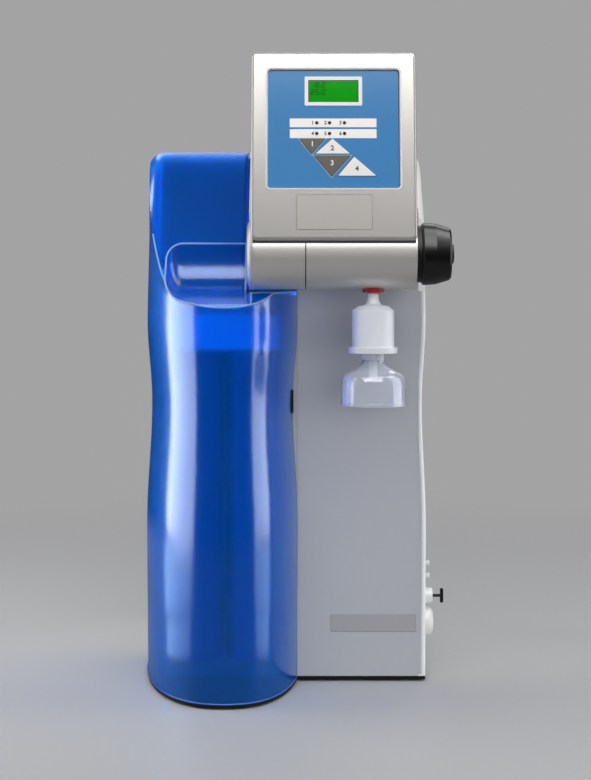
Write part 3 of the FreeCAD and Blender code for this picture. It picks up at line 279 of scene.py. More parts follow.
def corner_spot(across, up, reach, angle, out):
    return Vector((across + reach * math.cos(angle), up + reach * math.sin(angle), out))


def rounded_plate(name, place, left, right, low, high, back, front, corner, edge):
    """A thin plate with rounded corners and a softened front edge; place turns across, up and out to the frame."""
    corner_steps, soft_share = 6, 0.3
    rings = [(back, 0.0), (front - edge, 0.0), (front - edge * soft_share, edge * soft_share), (front, edge)]
    points = []
    for out, inset in rings:
        for across, up, quarter in rounded_corners(left, right, low, high, corner):
            for step in range(corner_steps + 1):
                angle = math.pi / 2 * (quarter + step / corner_steps)
                reach = corner - inset
                points.append(place @ corner_spot(across, up, reach, angle, out))
    around = len(points) // len(rings)
    return solid_mesh(name, points, end_faces(len(rings), around) + ring_faces(len(rings), around))


panel_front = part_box("front_panel")[0].y
badge_left, badge_right = 0.0310, 0.1057
badge_low, badge_high = 0.0436, 0.0584
badge_back, badge_front, badge_corner, badge_edge = -0.0008, -0.0001, 0.0006, 0.0002
on_panel = Matrix(((1, 0, 0, 0), (0, 0, -1, panel_front), (0, 1, 0, 0), (0, 0, 0, 1)))
badge_foil = moulded_plastic("satin foil on plastic", "#b2afb1", "#aba8aa", 0.36, 0.0010, Metallic=0.2)
badge_mesh = rounded_plate("badge", on_panel, badge_left, badge_right, badge_low, badge_high, badge_back,
                           badge_front, badge_corner, badge_edge)
begin_piece("badge", badge_mesh, badge_foil, "cabinet")

# Panel edges. The grey front panel laps over the cabinet on both sides: on the left a straight flange reaches
# behind the blue cover, and on the right a thin lap follows the wave of the white shell and leaves a fine
# white line of it bare.
flange_left, flange_right, flange_low, flange_high = -0.0060, 0.0014, 0.0060, 0.3440
flange_back, flange_front, flange_corner, flange_edge = -0.0010, -0.0002, 0.0004, 0.0001
flange_mesh = rounded_plate("panel_flange", on_panel, flange_left, flange_right, flange_low, flange_high,
                            flange_back, flange_front, flange_corner, flange_edge)
begin_piece("panel_flange", flange_mesh, panel_plastic, "cabinet")
lap_low, lap_high, lap_rows = 0.0060, 0.3440, 60
lap_thickness, shell_line, lap_depth = 0.0003, 0.0034, 0.005


def surface_of(node):
    """A node's faces, ready to be measured along straight lines."""
    mesh = frame["nodes"][node].data
    return BVHTree.FromPolygons([vertex.co for vertex in mesh.vertices],
                                [face.vertices[:] for face in mesh.polygons])


def shell_edge(shell, height):
    """Where the right shell's outer wall is, just behind the front panel's face."""
    return shell.ray_cast(Vector((1, panel_front + lap_depth, height)), Vector((-1, 0, 0)))[0].x


def wavy_lap(name, shell, left, low, high, rows):
    """A thin plate from a straight left edge to a line that keeps its distance from the right shell's edge."""
    points = []
    for row in range(rows + 1):
        up = low + (high - low) * row / rows
        right = shell_edge(shell, up) - shell_line
        for across, out in ((left, -lap_thickness), (right, -lap_thickness), (right, lap_thickness),
                            (left, lap_thickness)):
            points.append(on_panel @ Vector((across, up, out)))
    return solid_mesh(name, points, ring_faces(rows + 1, 4) + end_faces(rows + 1, 4))


def finished_mesh(holder):
    """The plain mesh that an object's curve or modifiers make; the object itself goes."""
    graph = bpy.context.evaluated_depsgraph_get()
    mesh = bpy.data.meshes.new_from_object(holder.evaluated_get(graph))
    bpy.data.objects.remove(holder)
    return mesh


def lip_along(name, lines, radius, material, body):
    """A thin round bead along lines of points."""
    curve = bpy.data.curves.new(name, "CURVE")
    curve.dimensions = "3D"
    curve.bevel_depth, curve.bevel_resolution, curve.use_fill_caps = radius, 2, True
    for line in lines:
        spline = curve.splines.new("POLY")
        spline.points.add(len(line) - 1)
        for point, spot in zip(spline.points, line):
            point.co = (spot.x, spot.y, spot.z, 1)
    begin_piece(name, finished_mesh(in_scene(name, curve)), material, body)


rim_radius, rim_proud = 0.0017, 0.0009
shell_faces = surface_of("right_shell")
rim_line = []
for row in range(lap_rows + 1):
    rim_height = lap_low + (lap_high - lap_low) * row / lap_rows
    rim_x = shell_edge(shell_faces, rim_height) - rim_radius
    rim_line.append(Vector((rim_x, panel_front - rim_proud + rim_radius, rim_height)))
lip_along("shell_rim", [rim_line], rim_radius, shell_plastic, "cabinet")
lap_overlap = 0.0002
lap_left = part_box("front_panel")[1].x - lap_overlap
lap_mesh = wavy_lap("panel_lap", shell_faces, lap_left, lap_low, lap_high, lap_rows)
begin_piece("panel_lap", lap_mesh, panel_plastic, "cabinet")

# Rear panel with its louvres. Sheet steel, powder coated in light grey; the louvres are pressed out of it
# in two columns over the power supply.
coated_steel = moulded_plastic("grey powder coat on sheet steel", "#b9bbbd", "#aeb0b3", 0.5, 0.0013)
dress("rear_panel", coated_steel)
screw_proud = 0.0024
rear_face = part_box("panel_screws")[1].y - screw_proud
on_rear = Matrix(((-1, 0, 0, 0), (0, 0, 1, rear_face), (0, 1, 0, 0), (0, 0, 0, 1)))


def node_tree(name, inputs):
    """An empty geometry tree whose inputs have the names and kinds given."""
    tree = bpy.data.node_groups.new(name, "GeometryNodeTree")
    tree.interface.new_socket("Geometry", in_out="INPUT", socket_type="NodeSocketGeometry")
    for label, kind in inputs.items():
        tree.interface.new_socket(label, in_out="INPUT", socket_type=kind)
    tree.interface.new_socket("Geometry", in_out="OUTPUT", socket_type="NodeSocketGeometry")
    return tree, add(tree, "NodeGroupInput", {}).outputs


def grow(tree, sizes, points=()):
    """Runs a geometry tree on a few points and returns the plain mesh that it makes."""
    seed_mesh = bpy.data.meshes.new(tree.name)
    seed_mesh.from_pydata(list(points), [], [])
    holder = in_scene(tree.name, seed_mesh)
    modifier = holder.modifiers.new(tree.name, "NODES")
    modifier.node_group = tree
    for item in tree.interface.items_tree:
        if item.in_out == "INPUT" and item.name in sizes:
            modifier[item.identifier] = sizes[item.name]
    graph = bpy.context.evaluated_depsgraph_get()
    mesh = bpy.data.meshes.new_from_object(holder.evaluated_get(graph))
    holder.modifiers.remove(modifier)
    bpy.data.objects.remove(holder)
    return mesh


def louvre_tree(material):
    """Rows and columns of pressed hoods: half of a flattened, drawn-out ball each."""
    tree, sizes = node_tree("louvres", {
        "Length": "NodeSocketFloat", "Height": "NodeSocketFloat", "Proud": "NodeSocketFloat",
        "Rows": "NodeSocketInt", "Row Step": "NodeSocketVector", "Columns": "NodeSocketInt",
        "Column Step": "NodeSocketVector", "Start": "NodeSocketVector"})
    column = add(tree, "GeometryNodeMeshLine", {"Count": sizes["Rows"], "Offset": sizes["Row Step"]})
    row = add(tree, "GeometryNodeMeshLine", {"Count": sizes["Columns"], "Start Location": sizes["Start"],
                                             "Offset": sizes["Column Step"]})
    grid = add(tree, "GeometryNodeInstanceOnPoints", {"Points": row.outputs["Mesh"],
                                                      "Instance": column.outputs["Mesh"]})
    spots = add(tree, "GeometryNodeRealizeInstances", {"Geometry": grid.outputs["Instances"]})
    size = add(tree, "ShaderNodeCombineXYZ", {0: sizes["Length"], 1: sizes["Proud"], 2: sizes["Height"]})
    half = add(tree, "ShaderNodeVectorMath", {0: size.outputs[0], 1: (0.5, 1.0, 0.5)}, operation="MULTIPLY")
    ball = add(tree, "GeometryNodeMeshUVSphere", {"Segments": 24, "Rings": 12, "Radius": 1.0})
    hood = add(tree, "GeometryNodeTransform", {"Geometry": ball.outputs["Mesh"], "Scale": half.outputs[0]})
    hoods = add(tree, "GeometryNodeInstanceOnPoints", {"Points": spots.outputs["Geometry"],
                                                       "Instance": hood.outputs["Geometry"]})
    real = add(tree, "GeometryNodeRealizeInstances", {"Geometry": hoods.outputs["Instances"]})
    smooth = add(tree, "GeometryNodeSetShadeSmooth", {"Geometry": real.outputs["Geometry"]})
    painted = add(tree, "GeometryNodeSetMaterial", {"Geometry": smooth.outputs["Geometry"], "Material": material})
    add(tree, "NodeGroupOutput", {"Geometry": painted.outputs["Geometry"]})
    return tree


louvre_length, louvre_height, louvre_proud = 0.070, 0.0060, 0.0022
louvre_step, louvre_rows, louvre_columns = 0.0105, 9, 2
louvre_column_step, louvre_left, louvre_low = 0.0875, -0.052, 0.330
louvre_mesh = grow(louvre_tree(coated_steel), {
    "Length": louvre_length, "Height": louvre_height, "Proud": louvre_proud, "Rows": louvre_rows,
    "Row Step": (0, 0, louvre_step), "Columns": louvre_columns, "Column Step": (louvre_column_step, 0, 0),
    "Start": (louvre_left, rear_face, louvre_low)}, [(0, 0, 0)])
begin_piece("louvres", louvre_mesh, coated_steel, "cabinet")

# Rear panel screws. Eight stainless pan-head screws with a cross recess, driven home at eight odd angles.


def cross_head():
    """One pan head with its cross recess, facing +Y, the seat at zero."""
    across = 24
    outline = [(0.0036, 0.0), (0.0036, 0.0008), (0.0033, 0.0015), (0.0026, 0.0020), (0.0016, 0.0023)]
    points = []
    for radius, out in outline:
        for step in range(across):
            angle = math.tau * step / across
            points.append((radius * math.cos(angle), out, -radius * math.sin(angle)))
    rings = len(outline)
    head_mesh = solid_mesh("screw head", points, end_faces(rings, across) + ring_faces(rings, across))
    head = in_scene("screw head", head_mesh)
    arm, width, floor, over = 0.0021, 0.00045, 0.0009, 0.004
    corners = [(width, width), (width, arm), (-width, arm), (-width, width), (-arm, width), (-arm, -width),
               (-width, -width), (-width, -arm), (width, -arm), (width, -width), (arm, -width), (arm, width)]
    count = len(corners)
    cutter_points = [(x, out, -z) for out in (floor, over) for x, z in corners]
    cutter_mesh = solid_mesh("cross", cutter_points, end_faces(2, count) + ring_faces(2, count))
    cutter = in_scene("cross", cutter_mesh)
    cut = head.modifiers.new("recess", "BOOLEAN")
    cut.operation, cut.solver, cut.object = "DIFFERENCE", "EXACT", cutter
    mesh = finished_mesh(head)
    bpy.data.objects.remove(cutter)
    return mesh


def screw_tree(head, material):
    """The same head on every point, each turned to an angle of its own."""
    tree, sizes = node_tree("screws", {"Seed": "NodeSocketInt"})
    turn = add(tree, "FunctionNodeRandomValue", {0: (0, 0, 0), 1: (0, math.pi, 0), "Seed": sizes["Seed"]},
               data_type="FLOAT_VECTOR")
    shape = add(tree, "GeometryNodeObjectInfo", {"Object": head})
    heads = add(tree, "GeometryNodeInstanceOnPoints", {
        "Points": sizes["Geometry"], "Instance": shape.outputs["Geometry"], "Rotation": turn.outputs[0]})
    real = add(tree, "GeometryNodeRealizeInstances", {"Geometry": heads.outputs["Instances"]})
    painted = add(tree, "GeometryNodeSetMaterial", {"Geometry": real.outputs["Geometry"], "Material": material})
    add(tree, "NodeGroupOutput", {"Geometry": painted.outputs["Geometry"]})
    return tree


screw_low, screw_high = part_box("panel_screws")
screw_radius, screw_rows = 0.0036, 4
screw_rise = (screw_high.z - screw_low.z - 2 * screw_radius) / (screw_rows - 1)
screw_spots = [(x, rear_face, screw_low.z + screw_radius + screw_rise * row)
               for x in (screw_low.x + screw_radius, screw_high.x - screw_radius) for row in range(screw_rows)]
screw_seed = 7
head_holder = in_scene("one screw", cross_head())
screw_mesh = grow(screw_tree(head_holder, bright_steel), {"Seed": screw_seed}, screw_spots)
bpy.data.objects.remove(head_holder)
screws = begin_piece("panel_screw_heads", screw_mesh, bright_steel, "cabinet")
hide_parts("panel_screws")

# Mains inlet, power switch and hose ports at the back. Black polyamide for the inlet, the switch frame and its
# rocker, nickel-plated brass for the inlet's three blades, and white acetal push-in fittings for the tubes.
gloss_black = moulded_plastic("black polyamide, moulded gloss", "#0d0e10", "#141518", 0.22, 0.0012)
nickel_brass = rolled_metal("nickel-plated brass, stamped", "#c3bda9", "#aea891", 0.24, 0.0005, 1)
dress("power_inlet", gloss_black)
dress("switch_frame", gloss_black)
dress("power_rocker", gloss_black)
dress("hose_ports", white_acetal)
blade_pitch, blade_half, blade_tall, blade_back, blade_front = 0.007, 0.0011, 0.0021, -0.016, -0.0058
earth_rise, blade_corner, blade_edge = 0.001, 0.0004, 0.0003
inlet_centre = Vector((0.062, 0, 0.062))
for side, blade_name in ((-1, "line_blade"), (0, "earth_blade"), (1, "neutral_blade")):
    blade_x = -(inlet_centre.x + side * blade_pitch)
    blade_z = inlet_centre.z + (1 - abs(side)) * earth_rise
    blade_mesh = rounded_plate(blade_name, on_rear, blade_x - blade_half, blade_x + blade_half,
                               blade_z - blade_tall, blade_z + blade_tall, blade_back, blade_front, blade_corner,
                               blade_edge)
    begin_piece(blade_name, blade_mesh, nickel_brass, "cabinet")

# Side ports, tap tee and test plugs. A white acetal tap body turned by a thin black tee on its stem, a domed
# drain cap below it, and above it two test plugs pushed into the wall: a white grip with a black seal behind it.
dress("tap_body", white_acetal)
dress("side_plugs", white_acetal)
weld_distance = 0.000001


def turned_along_x(name, outline, centre, steps):
    """A solid turned about a line along X, from (radius, x) points that start and end on the line."""
    points = [Vector((along, centre.y + radius * math.cos(math.tau * step / steps),
                      centre.z + radius * math.sin(math.tau * step / steps)))
              for step in range(steps) for radius, along in outline]
    count = len(outline)
    faces = [(step * count + place, step * count + place + 1, (step + 1) % steps * count + place + 1,
              (step + 1) % steps * count + place) for step in range(steps) for place in range(count - 1)]
    return solid_mesh(name, points, faces, weld_distance)


tee_low, tee_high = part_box("tap_handle")
tee_centre = (tee_low + tee_high) / 2
stem_radius, tee_thickness, tee_round, tee_corner, tee_edge = 0.0014, 0.0030, 0.0014, 0.00126, 0.0006
on_right = Matrix(((0, 0, 1, 0), (1, 0, 0, 0), (0, 1, 0, 0), (0, 0, 0, 1)))
tee_mesh = rounded_plate("tap_tee", on_right, tee_centre.y - tee_round, tee_centre.y + tee_round, tee_low.z,
                         tee_high.z, tee_high.x - tee_thickness, tee_high.x, tee_corner, tee_edge)
stem_end = tee_high.x - tee_thickness / 2
stem_mesh = turned_along_x("tap_stem", [(0, tee_low.x), (stem_radius, tee_low.x), (stem_radius, stem_end),
                                        (0, stem_end)], tee_centre, 20)
tee_work = bmesh.new()
tee_work.from_mesh(tee_mesh)
tee_work.from_mesh(stem_mesh)
tee_work.to_mesh(tee_mesh)
tee_work.free()
tee = begin_piece("tap_tee", tee_mesh, black_plastic, "tap")
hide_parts("tap_handle")
plug_base, plug_seal, plug_waist, plug_end = 0.1150, 0.1185, 0.1192, 0.1222
plug_radius, waist_radius, tip_radius, seal_radius = 0.0026, 0.00182, 0.00208, 0.0034
plug_round, plug_sunk, plug_heights = 0.0006, 0.0002, (0.0835, 0.0950)
for number, plug_height in enumerate(plug_heights, 1):
    plug_centre = Vector((0, (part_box("side_plugs")[0].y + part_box("side_plugs")[1].y) / 2, plug_height))
    seal_and_shade_mesh = turned_along_x(f"plug_seal_{number}", [(0, plug_base), (seal_radius, plug_base),
                                                       (seal_radius, plug_seal), (0, plug_seal)], plug_centre, 24)
    begin_piece(f"plug_seal_{number}", seal_and_shade_mesh, black_rubber_and_shade, "cabinet")
    grip_mesh = turned_along_x(f"plug_grip_{number}", [
        (0, plug_seal - plug_sunk), (plug_radius, plug_seal - plug_sunk), (waist_radius, plug_waist),
        (plug_radius, plug_end - plug_round), (tip_radius, plug_end), (0, plug_end)], plug_centre, 24)
    begin_piece(f"plug_grip_{number}", grip_mesh, white_acetal, "cabinet")

# Dispense head. The right half of the barrel, moulded with its neck in silver-grey ABS, holds the dispensing
# valve; the pin is stainless, and the red ring is a silicone seal round the outlet.
silver_plastic = moulded_plastic("silver-grey ABS, moulded satin", "#c4c1bd", "#bcb9b5", 0.24, 0.0010,
                                 Metallic=0.6)
barrel_plastic = moulded_plastic("silver-grey ABS, turned satin", "#cdcac6", "#c5c2be", 0.34, 0.0010,
                                 Metallic=0.55)
ring_silicone = moulded_plastic("red silicone, moulded", "#a31c22", "#8c161c", 0.4, 0.0009)
dress("dispense_head", barrel_plastic)
dress("valve_body", natural_plastic)
dress("pivot_pin", bright_steel)
dress("knob_spindle", bright_steel)
dress("outlet_ring", ring_silicone)

# Dispense knob. Black soft-touch plastic over a hard core, with a flat collar behind it and a pressed-in cap.
knob_plastic = moulded_plastic("black soft-touch plastic, moulded", "#060607", "#0b0b0c", 0.3, 0.0011,
                               Specular_IOR_Level=0.45)
dress("knob_collar", black_plastic)
dress("dispense_knob", knob_plastic)
dress("knob_cap", knob_plastic)

# Display housing. Two silver-grey shells screwed together on the pivot sleeve, moulded like the dispense head.
# Black strips in the seam to the head and in the gap under the shells are painted shade; a bare plate sits low on
# the front.
dress("pivot_sleeve", barrel_plastic)
dress("display_back", silver_plastic)
dress("display_frame", silver_plastic)
tilt_joint = next(joint for joint in frame["joints"] if joint["name"] == "display_tilt")
pivot = Vector(tilt_joint["pos_m"])
lean = math.radians(-tilt_joint["range_deg"][0])
on_display = Matrix(((1, 0, 0, pivot.x), (0, math.sin(lean), -math.cos(lean), pivot.y),
                     (0, math.cos(lean), math.sin(lean), pivot.z), (0, 0, 0, 1)))
display_front = 0.0324


def turned_ring(name, across, outline, centre, start_angle, end_angle, steps):
    """A ring or a sector of one about the barrel's axis, from an outline of (radius, along) points."""
    closed = end_angle - start_angle >= math.tau
    stations = steps if closed else steps + 1
    points = []
    for step in range(stations):
        angle = start_angle + (end_angle - start_angle) * step / steps
        for radius, along in outline:
            points.append(across @ Vector((centre + along, radius * math.sin(angle), radius * math.cos(angle))))
    count = len(outline)
    faces = ring_faces(stations, count, closed)
    if not closed:
        faces += end_faces(stations, count)
    return solid_mesh(name, points, faces)


# The black ring in the seam between sleeve and head is painted shade, a dark seam line.
seam_shade_half, seam_shade_inner, seam_shade_outer = 0.00045, 0.0270, 0.02970
seam_x = (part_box("pivot_sleeve")[1].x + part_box("dispense_head")[0].x) / 2
seal_and_shade_mesh = turned_ring("seam_seal", on_display, [(seam_shade_inner, -seam_shade_half), (seam_shade_outer, -seam_shade_half),
                                                  (seam_shade_outer, seam_shade_half), (seam_shade_inner, seam_shade_half)],
                        seam_x, 0.0, math.tau, 96)
begin_piece("seam_seal", seal_and_shade_mesh, black_rubber_and_shade, "display")
# The black strip in the gap under the display shells is painted shade.
under_shade_inner, under_shade_outer = 0.02975, 0.0306
under_shade_left, under_shade_right = -0.0355, 0.0995
under_shade_low, under_shade_high = math.radians(8.4), math.radians(12.5)
under_shade_mesh = turned_ring("display_gasket", on_display, [
    (under_shade_inner, under_shade_left), (under_shade_outer, under_shade_left), (under_shade_outer, under_shade_right),
    (under_shade_inner, under_shade_right)], 0.0, under_shade_low, under_shade_high, 6)
begin_piece("display_gasket", under_shade_mesh, black_rubber_and_shade, "display")
plate_left, plate_right, plate_low, plate_high = 0.0010, 0.0632, 0.0151, 0.0441
plate_depth, plate_sunk, plate_corner, plate_edge = 0.0008, 0.0001, 0.0006, 0.0002
plate_mesh = rounded_plate("head_plate", on_display, plate_left, plate_right, plate_low, plate_high,
                           display_front - plate_depth, display_front - plate_sunk, plate_corner, plate_edge)
plate_plastic = moulded_plastic("silver ABS plate, satin", "#a8a5a1", "#a09d99", 0.34, 0.0010, Metallic=0.4)
begin_piece("head_plate", plate_mesh, plate_plastic, "display")

# Keypad. A polyester overlay printed mid blue on its back, so the colour sits under a clear satin face; two
# off-white label strips are printed on it, and each key has a thin pale outline.
overlay_blue = moulded_plastic("polyester overlay, printed blue", "#4a8bc5", "#4586bf", 0.14, 0.0012,
                               Specular_IOR_Level=0.3)
overlay_white = moulded_plastic("polyester overlay, printed white", "#f9f4f1", "#f3eeeb", 0.32, 0.0012)
overlay_outline = moulded_plastic("polyester overlay, printed pale blue", "#93aec4", "#8aa6bd", 0.32, 0.0012)
dress("keypad_membrane", overlay_blue)


def on_display_span(node):
    """A node's lowest and highest corners in the display's own across, up and out directions."""
    back_to_display = on_display.inverted()
    spots = [back_to_display @ vertex.co for vertex in frame["nodes"][node].data.vertices]
    return (Vector([min(spot[axis] for spot in spots) for axis in range(3)]),
            Vector([max(spot[axis] for spot in spots) for axis in range(3)]))


overlay_front = on_display_span("keypad_membrane")[1].z
strip_left, strip_right = -0.0048, 0.0674
strip_spans = {"lamp_strip_upper": (0.1018, 0.1093), "lamp_strip_lower": (0.0925, 0.1002)}
strip_thickness, strip_corner, strip_edge = 0.0003, 0.0004, 0.0001
for name, (low, high) in strip_spans.items():
    strip_mesh = rounded_plate(name, on_display, strip_left, strip_right, low, high, overlay_front,
                               overlay_front + strip_thickness, strip_corner, strip_edge)
    begin_piece(name, strip_mesh, overlay_white, "display")

recess_left, recess_right, recess_low, recess_high = -0.0235, 0.0870, 0.0497, 0.1514
recess_corner, bead_width, bead_proud, bead_slope = 0.0030, 0.0022, 0.0004, 0.0006
bead_front, bead_inner = display_front + bead_proud, bead_width - bead_slope


def rounded_frame(name, place, left, right, low, high, corner, profile):
    """A frame with rounded corners, whose section is a closed outline of (inset, out) points."""
    corner_steps = 8
    points = []
    for across, up, quarter in rounded_corners(left, right, low, high, corner):
        for step in range(corner_steps + 1):
            angle = math.pi / 2 * (quarter + step / corner_steps)
            for inset, out in profile:
                reach = corner - inset
                points.append(place @ corner_spot(across, up, reach, angle, out))
    return solid_mesh(name, points, ring_faces(4 * (corner_steps + 1), len(profile), closed=True))


# A thin black frame round the overlay, partly hidden under the bezel, is painted shade: the dark line that the
# recess edge throws on the keypad.
shade_strip_width, shade_strip_thickness = 0.0007, 0.00008
visible_inset = bead_width - bead_inner
keypad_shade_mesh = rounded_frame("keypad_gap", on_display, recess_left + visible_inset - shade_strip_width,
                         recess_right - visible_inset, recess_low + visible_inset - shade_strip_width,
                         recess_high - visible_inset, recess_corner,
                         [(0.0, overlay_front - shade_strip_thickness), (shade_strip_width, overlay_front - shade_strip_thickness),
                          (shade_strip_width, overlay_front + shade_strip_thickness), (0.0, overlay_front + shade_strip_thickness)])
begin_piece("keypad_gap", keypad_shade_mesh, black_rubber_and_shade, "display")
# The bead round the keypad recess is white: a painted highlight on the chamfer of the silver frame.
highlight_white_plastic = moulded_plastic("white ABS, chamfered edge", "#f2f1ef", "#e9e8e6", 0.2, 0.0010)
bezel_mesh = rounded_frame("keypad_bezel", on_display, recess_left - bead_inner, recess_right + bead_inner,
                           recess_low - bead_inner, recess_high + bead_inner, recess_corner + bead_inner,
                           [(0.0, display_front - bead_proud), (bead_slope, bead_front),
                            (bead_inner - bead_slope / 2, bead_front), (bead_width, overlay_front),
                            (bead_inner, overlay_front), (bead_slope, display_front - bead_proud)])
begin_piece("keypad_bezel", bezel_mesh, highlight_white_plastic, "display")


least_side, longest_mitre = 0.0002, 2.2


def key_outline(name, node, near, far, material):
    """A printed band round a key, between two distances from its edge."""
    back_to_display = on_display.inverted()
    flat = [(back_to_display @ vertex.co).to_2d() for vertex in frame["nodes"][node].data.vertices]
    hull = [flat[place] for place in convex_hull_2d(flat)]
    trimmed = [spot for place, spot in enumerate(hull) if (spot - hull[place - 1]).length > least_side]
    count = len(trimmed)
    middle = sum(trimmed, Vector((0, 0))) / count
    points = []
    for place, spot in enumerate(trimmed):
        before = (spot - trimmed[place - 1]).normalized()
        after = (trimmed[(place + 1) % count] - spot).normalized()
        normal = Vector((before.y + after.y, -before.x - after.x)).normalized()
        if normal.dot(spot - middle) < 0:
            normal = -normal
        stretch = min(longest_mitre, 1 / max(0.2, abs(normal.dot(Vector((before.y, -before.x))))))
        for distance, out in ((near, 0.0), (far, 0.0), (far, strip_thickness / 2), (near, strip_thickness / 2)):
            edge = spot + normal * distance * stretch
            points.append(on_display @ Vector((edge.x, edge.y, overlay_front + out)))
    mesh = solid_mesh(name, points, ring_faces(count, 4, closed=True))
    begin_piece(name, mesh, material, "display")


outline_near, outline_far = 0.0004, 0.0011
for node in ("key_down_upper", "key_down_lower"):
    key_outline(node + "_outline", node, outline_near, outline_far, overlay_outline)

# Display window. A white moulded bezel snapped round a green-lit liquid crystal panel under clear glass, with a
# thin black strip between them that is painted shade along the bezel's inner edge. The light behind the glass
# makes it glow a little.
bezel_plastic = moulded_plastic("white ABS, moulded gloss", "#f0f1ef", "#e8eae8", 0.26, 0.0010)
dress("lcd_frame", bezel_plastic)
glow_drift = 0.02


def lit_glass(name, colour, edge_colour, glow):
    """Back-lit display glass: green light from behind a smooth clear face."""
    material, tree = new_material(name)
    place = add(tree, "ShaderNodeTexCoord", {}).outputs["Object"]
    cells = add(tree, "ShaderNodeTexNoise", {"Vector": place, "Scale": 1 / glow_drift, "Detail": 1.0})
    tone = add(tree, "ShaderNodeMix", {0: cells.outputs["Fac"], 6: paint(colour), 7: paint(edge_colour)},
               data_type="RGBA")
    shader = add(tree, "ShaderNodeBsdfPrincipled", {
        "Base Color": tone.outputs[2], "Roughness": 0.06, "IOR": 1.5, "Emission Color": tone.outputs[2],
        "Emission Strength": glow})
    add(tree, "ShaderNodeOutputMaterial", {"Surface": shader.outputs["BSDF"]})
    return material


back_light = 0.15
dress("lcd_glass", lit_glass("green back-lit liquid crystal glass", "#0aa00c", "#078c09", back_light))
window_left, window_right, window_low, window_high, window_corner = 0.0106, 0.0526, 0.1232, 0.1421, 0.0012
glass_front = on_display_span("lcd_glass")[1].z
# The thin black frame round the glass is painted shade, the dark edge that the bezel throws on it.
window_shade_mesh = rounded_frame("window_seal", on_display, window_left, window_right, window_low, window_high,
                          window_corner,
                          [(0.0, glass_front - shade_strip_thickness), (shade_strip_width, glass_front - shade_strip_thickness),
                           (shade_strip_width, glass_front + shade_strip_thickness), (0.0, glass_front + shade_strip_thickness)])
begin_piece("window_seal", window_shade_mesh, black_rubber_and_shade, "display")

# Status lamps. Six domed lenses of smoked acrylic, pushed through the label strips from behind and unlit; each
# has a plain number printed beside it in black ink.
dress("status_lamps", moulded_plastic("smoked acrylic lens, moulded", "#0c0c0e", "#121214", 0.18, 0.002))

print_thickness, cap_share, ink_spread = 0.00012, 0.7, 0.035
black_ink = moulded_plastic("black screen-printing ink", "#1a1a1b", "#202021", 0.45, 0.0008)


def printed_text(name, words, height, middle, out, place, material, body):
    """A printed mark: the letters' own outlines, raised by the ink's thickness."""
    curve = bpy.data.curves.new(name, "FONT")
    curve.body, curve.size = words, height / cap_share
    curve.align_x, curve.align_y = "CENTER", "CENTER"
    curve.extrude, curve.resolution_u, curve.offset = print_thickness / 2, 3, height * ink_spread
    mesh = finished_mesh(in_scene(name, curve))
    mesh.transform(place @ Matrix.Translation((middle[0], middle[1], out + print_thickness / 2)))
    return begin_piece(name, mesh, material, body)


strip_digit_height, strip_digit_gap = 0.0030, 0.0034
lamp_columns = (0.0177, 0.0283, 0.0408)
number = 0
for name, (low, high) in strip_spans.items():
    for column in lamp_columns:
        number += 1
        printed_text(f"lamp_number_{number}", str(number), strip_digit_height,
                     (column - strip_digit_gap, (low + high) / 2), overlay_front + strip_thickness, on_display,
                     black_ink, "display")

# Marks at the back. A bare satin foil plate where the ratings would stand, plain numbers over the three hose
# ports and the on and off signs beside the switch, screen-printed in black on the powder coat.
rating_left, rating_right, rating_low, rating_high, rating_corner = 0.018, 0.088, 0.112, 0.156, 0.0015
foil_back, foil_front, foil_edge = -0.0001, 0.0004, 0.0001
plate_foil_mesh = rounded_plate("rating_plate", on_rear, rating_left, rating_right, rating_low, rating_high,
                                foil_back, foil_front, rating_corner, foil_edge)
plate_foil = moulded_plastic("polyester foil, satin white", "#dcddde", "#d2d3d5", 0.4, 0.0010)
begin_piece("rating_plate", plate_foil_mesh, plate_foil, "cabinet")
port_digit_height, port_digit_z, port_columns = 0.0055, 0.0585, (0.035, 0.065, 0.095)
for number, column in enumerate(port_columns, 1):
    printed_text(f"port_number_{number}", str(number), port_digit_height, (column, port_digit_z), 0.0, on_rear,
                 black_ink, "cabinet")
sign_x, sign_heights = -0.0445, {"I": 0.1100, "O": 0.0985}
for sign, sign_z in sign_heights.items():
    printed_text(f"switch_mark_{sign}", sign, port_digit_height, (sign_x, sign_z), 0.0, on_rear, black_ink,
                 "cabinet")

# Reading on the display. Two rows of plain seven-segment figures: the crystal turns dark green under the clear
# electrodes and blocks the light there.
segment_ends = {"a": ((0, 2), (1, 2)), "b": ((1, 2), (1, 1)), "c": ((1, 1), (1, 0)), "d": ((1, 0), (0, 0)),
                "e": ((0, 0), (0, 1)), "f": ((0, 1), (0, 2)), "g": ((0, 1), (1, 1))}
figure_segments = {"0": "abcdef", "1": "bc", "2": "abged", "5": "afgcd", "8": "abcdefg"}
segment_ink = moulded_plastic("liquid crystal segment, dark", "#04240a", "#031e08", 0.6, 0.0010,
                              Specular_IOR_Level=0.05)
dot_pitch, figure_pitch, segment_gap = 0.45, 1.55, 0.6


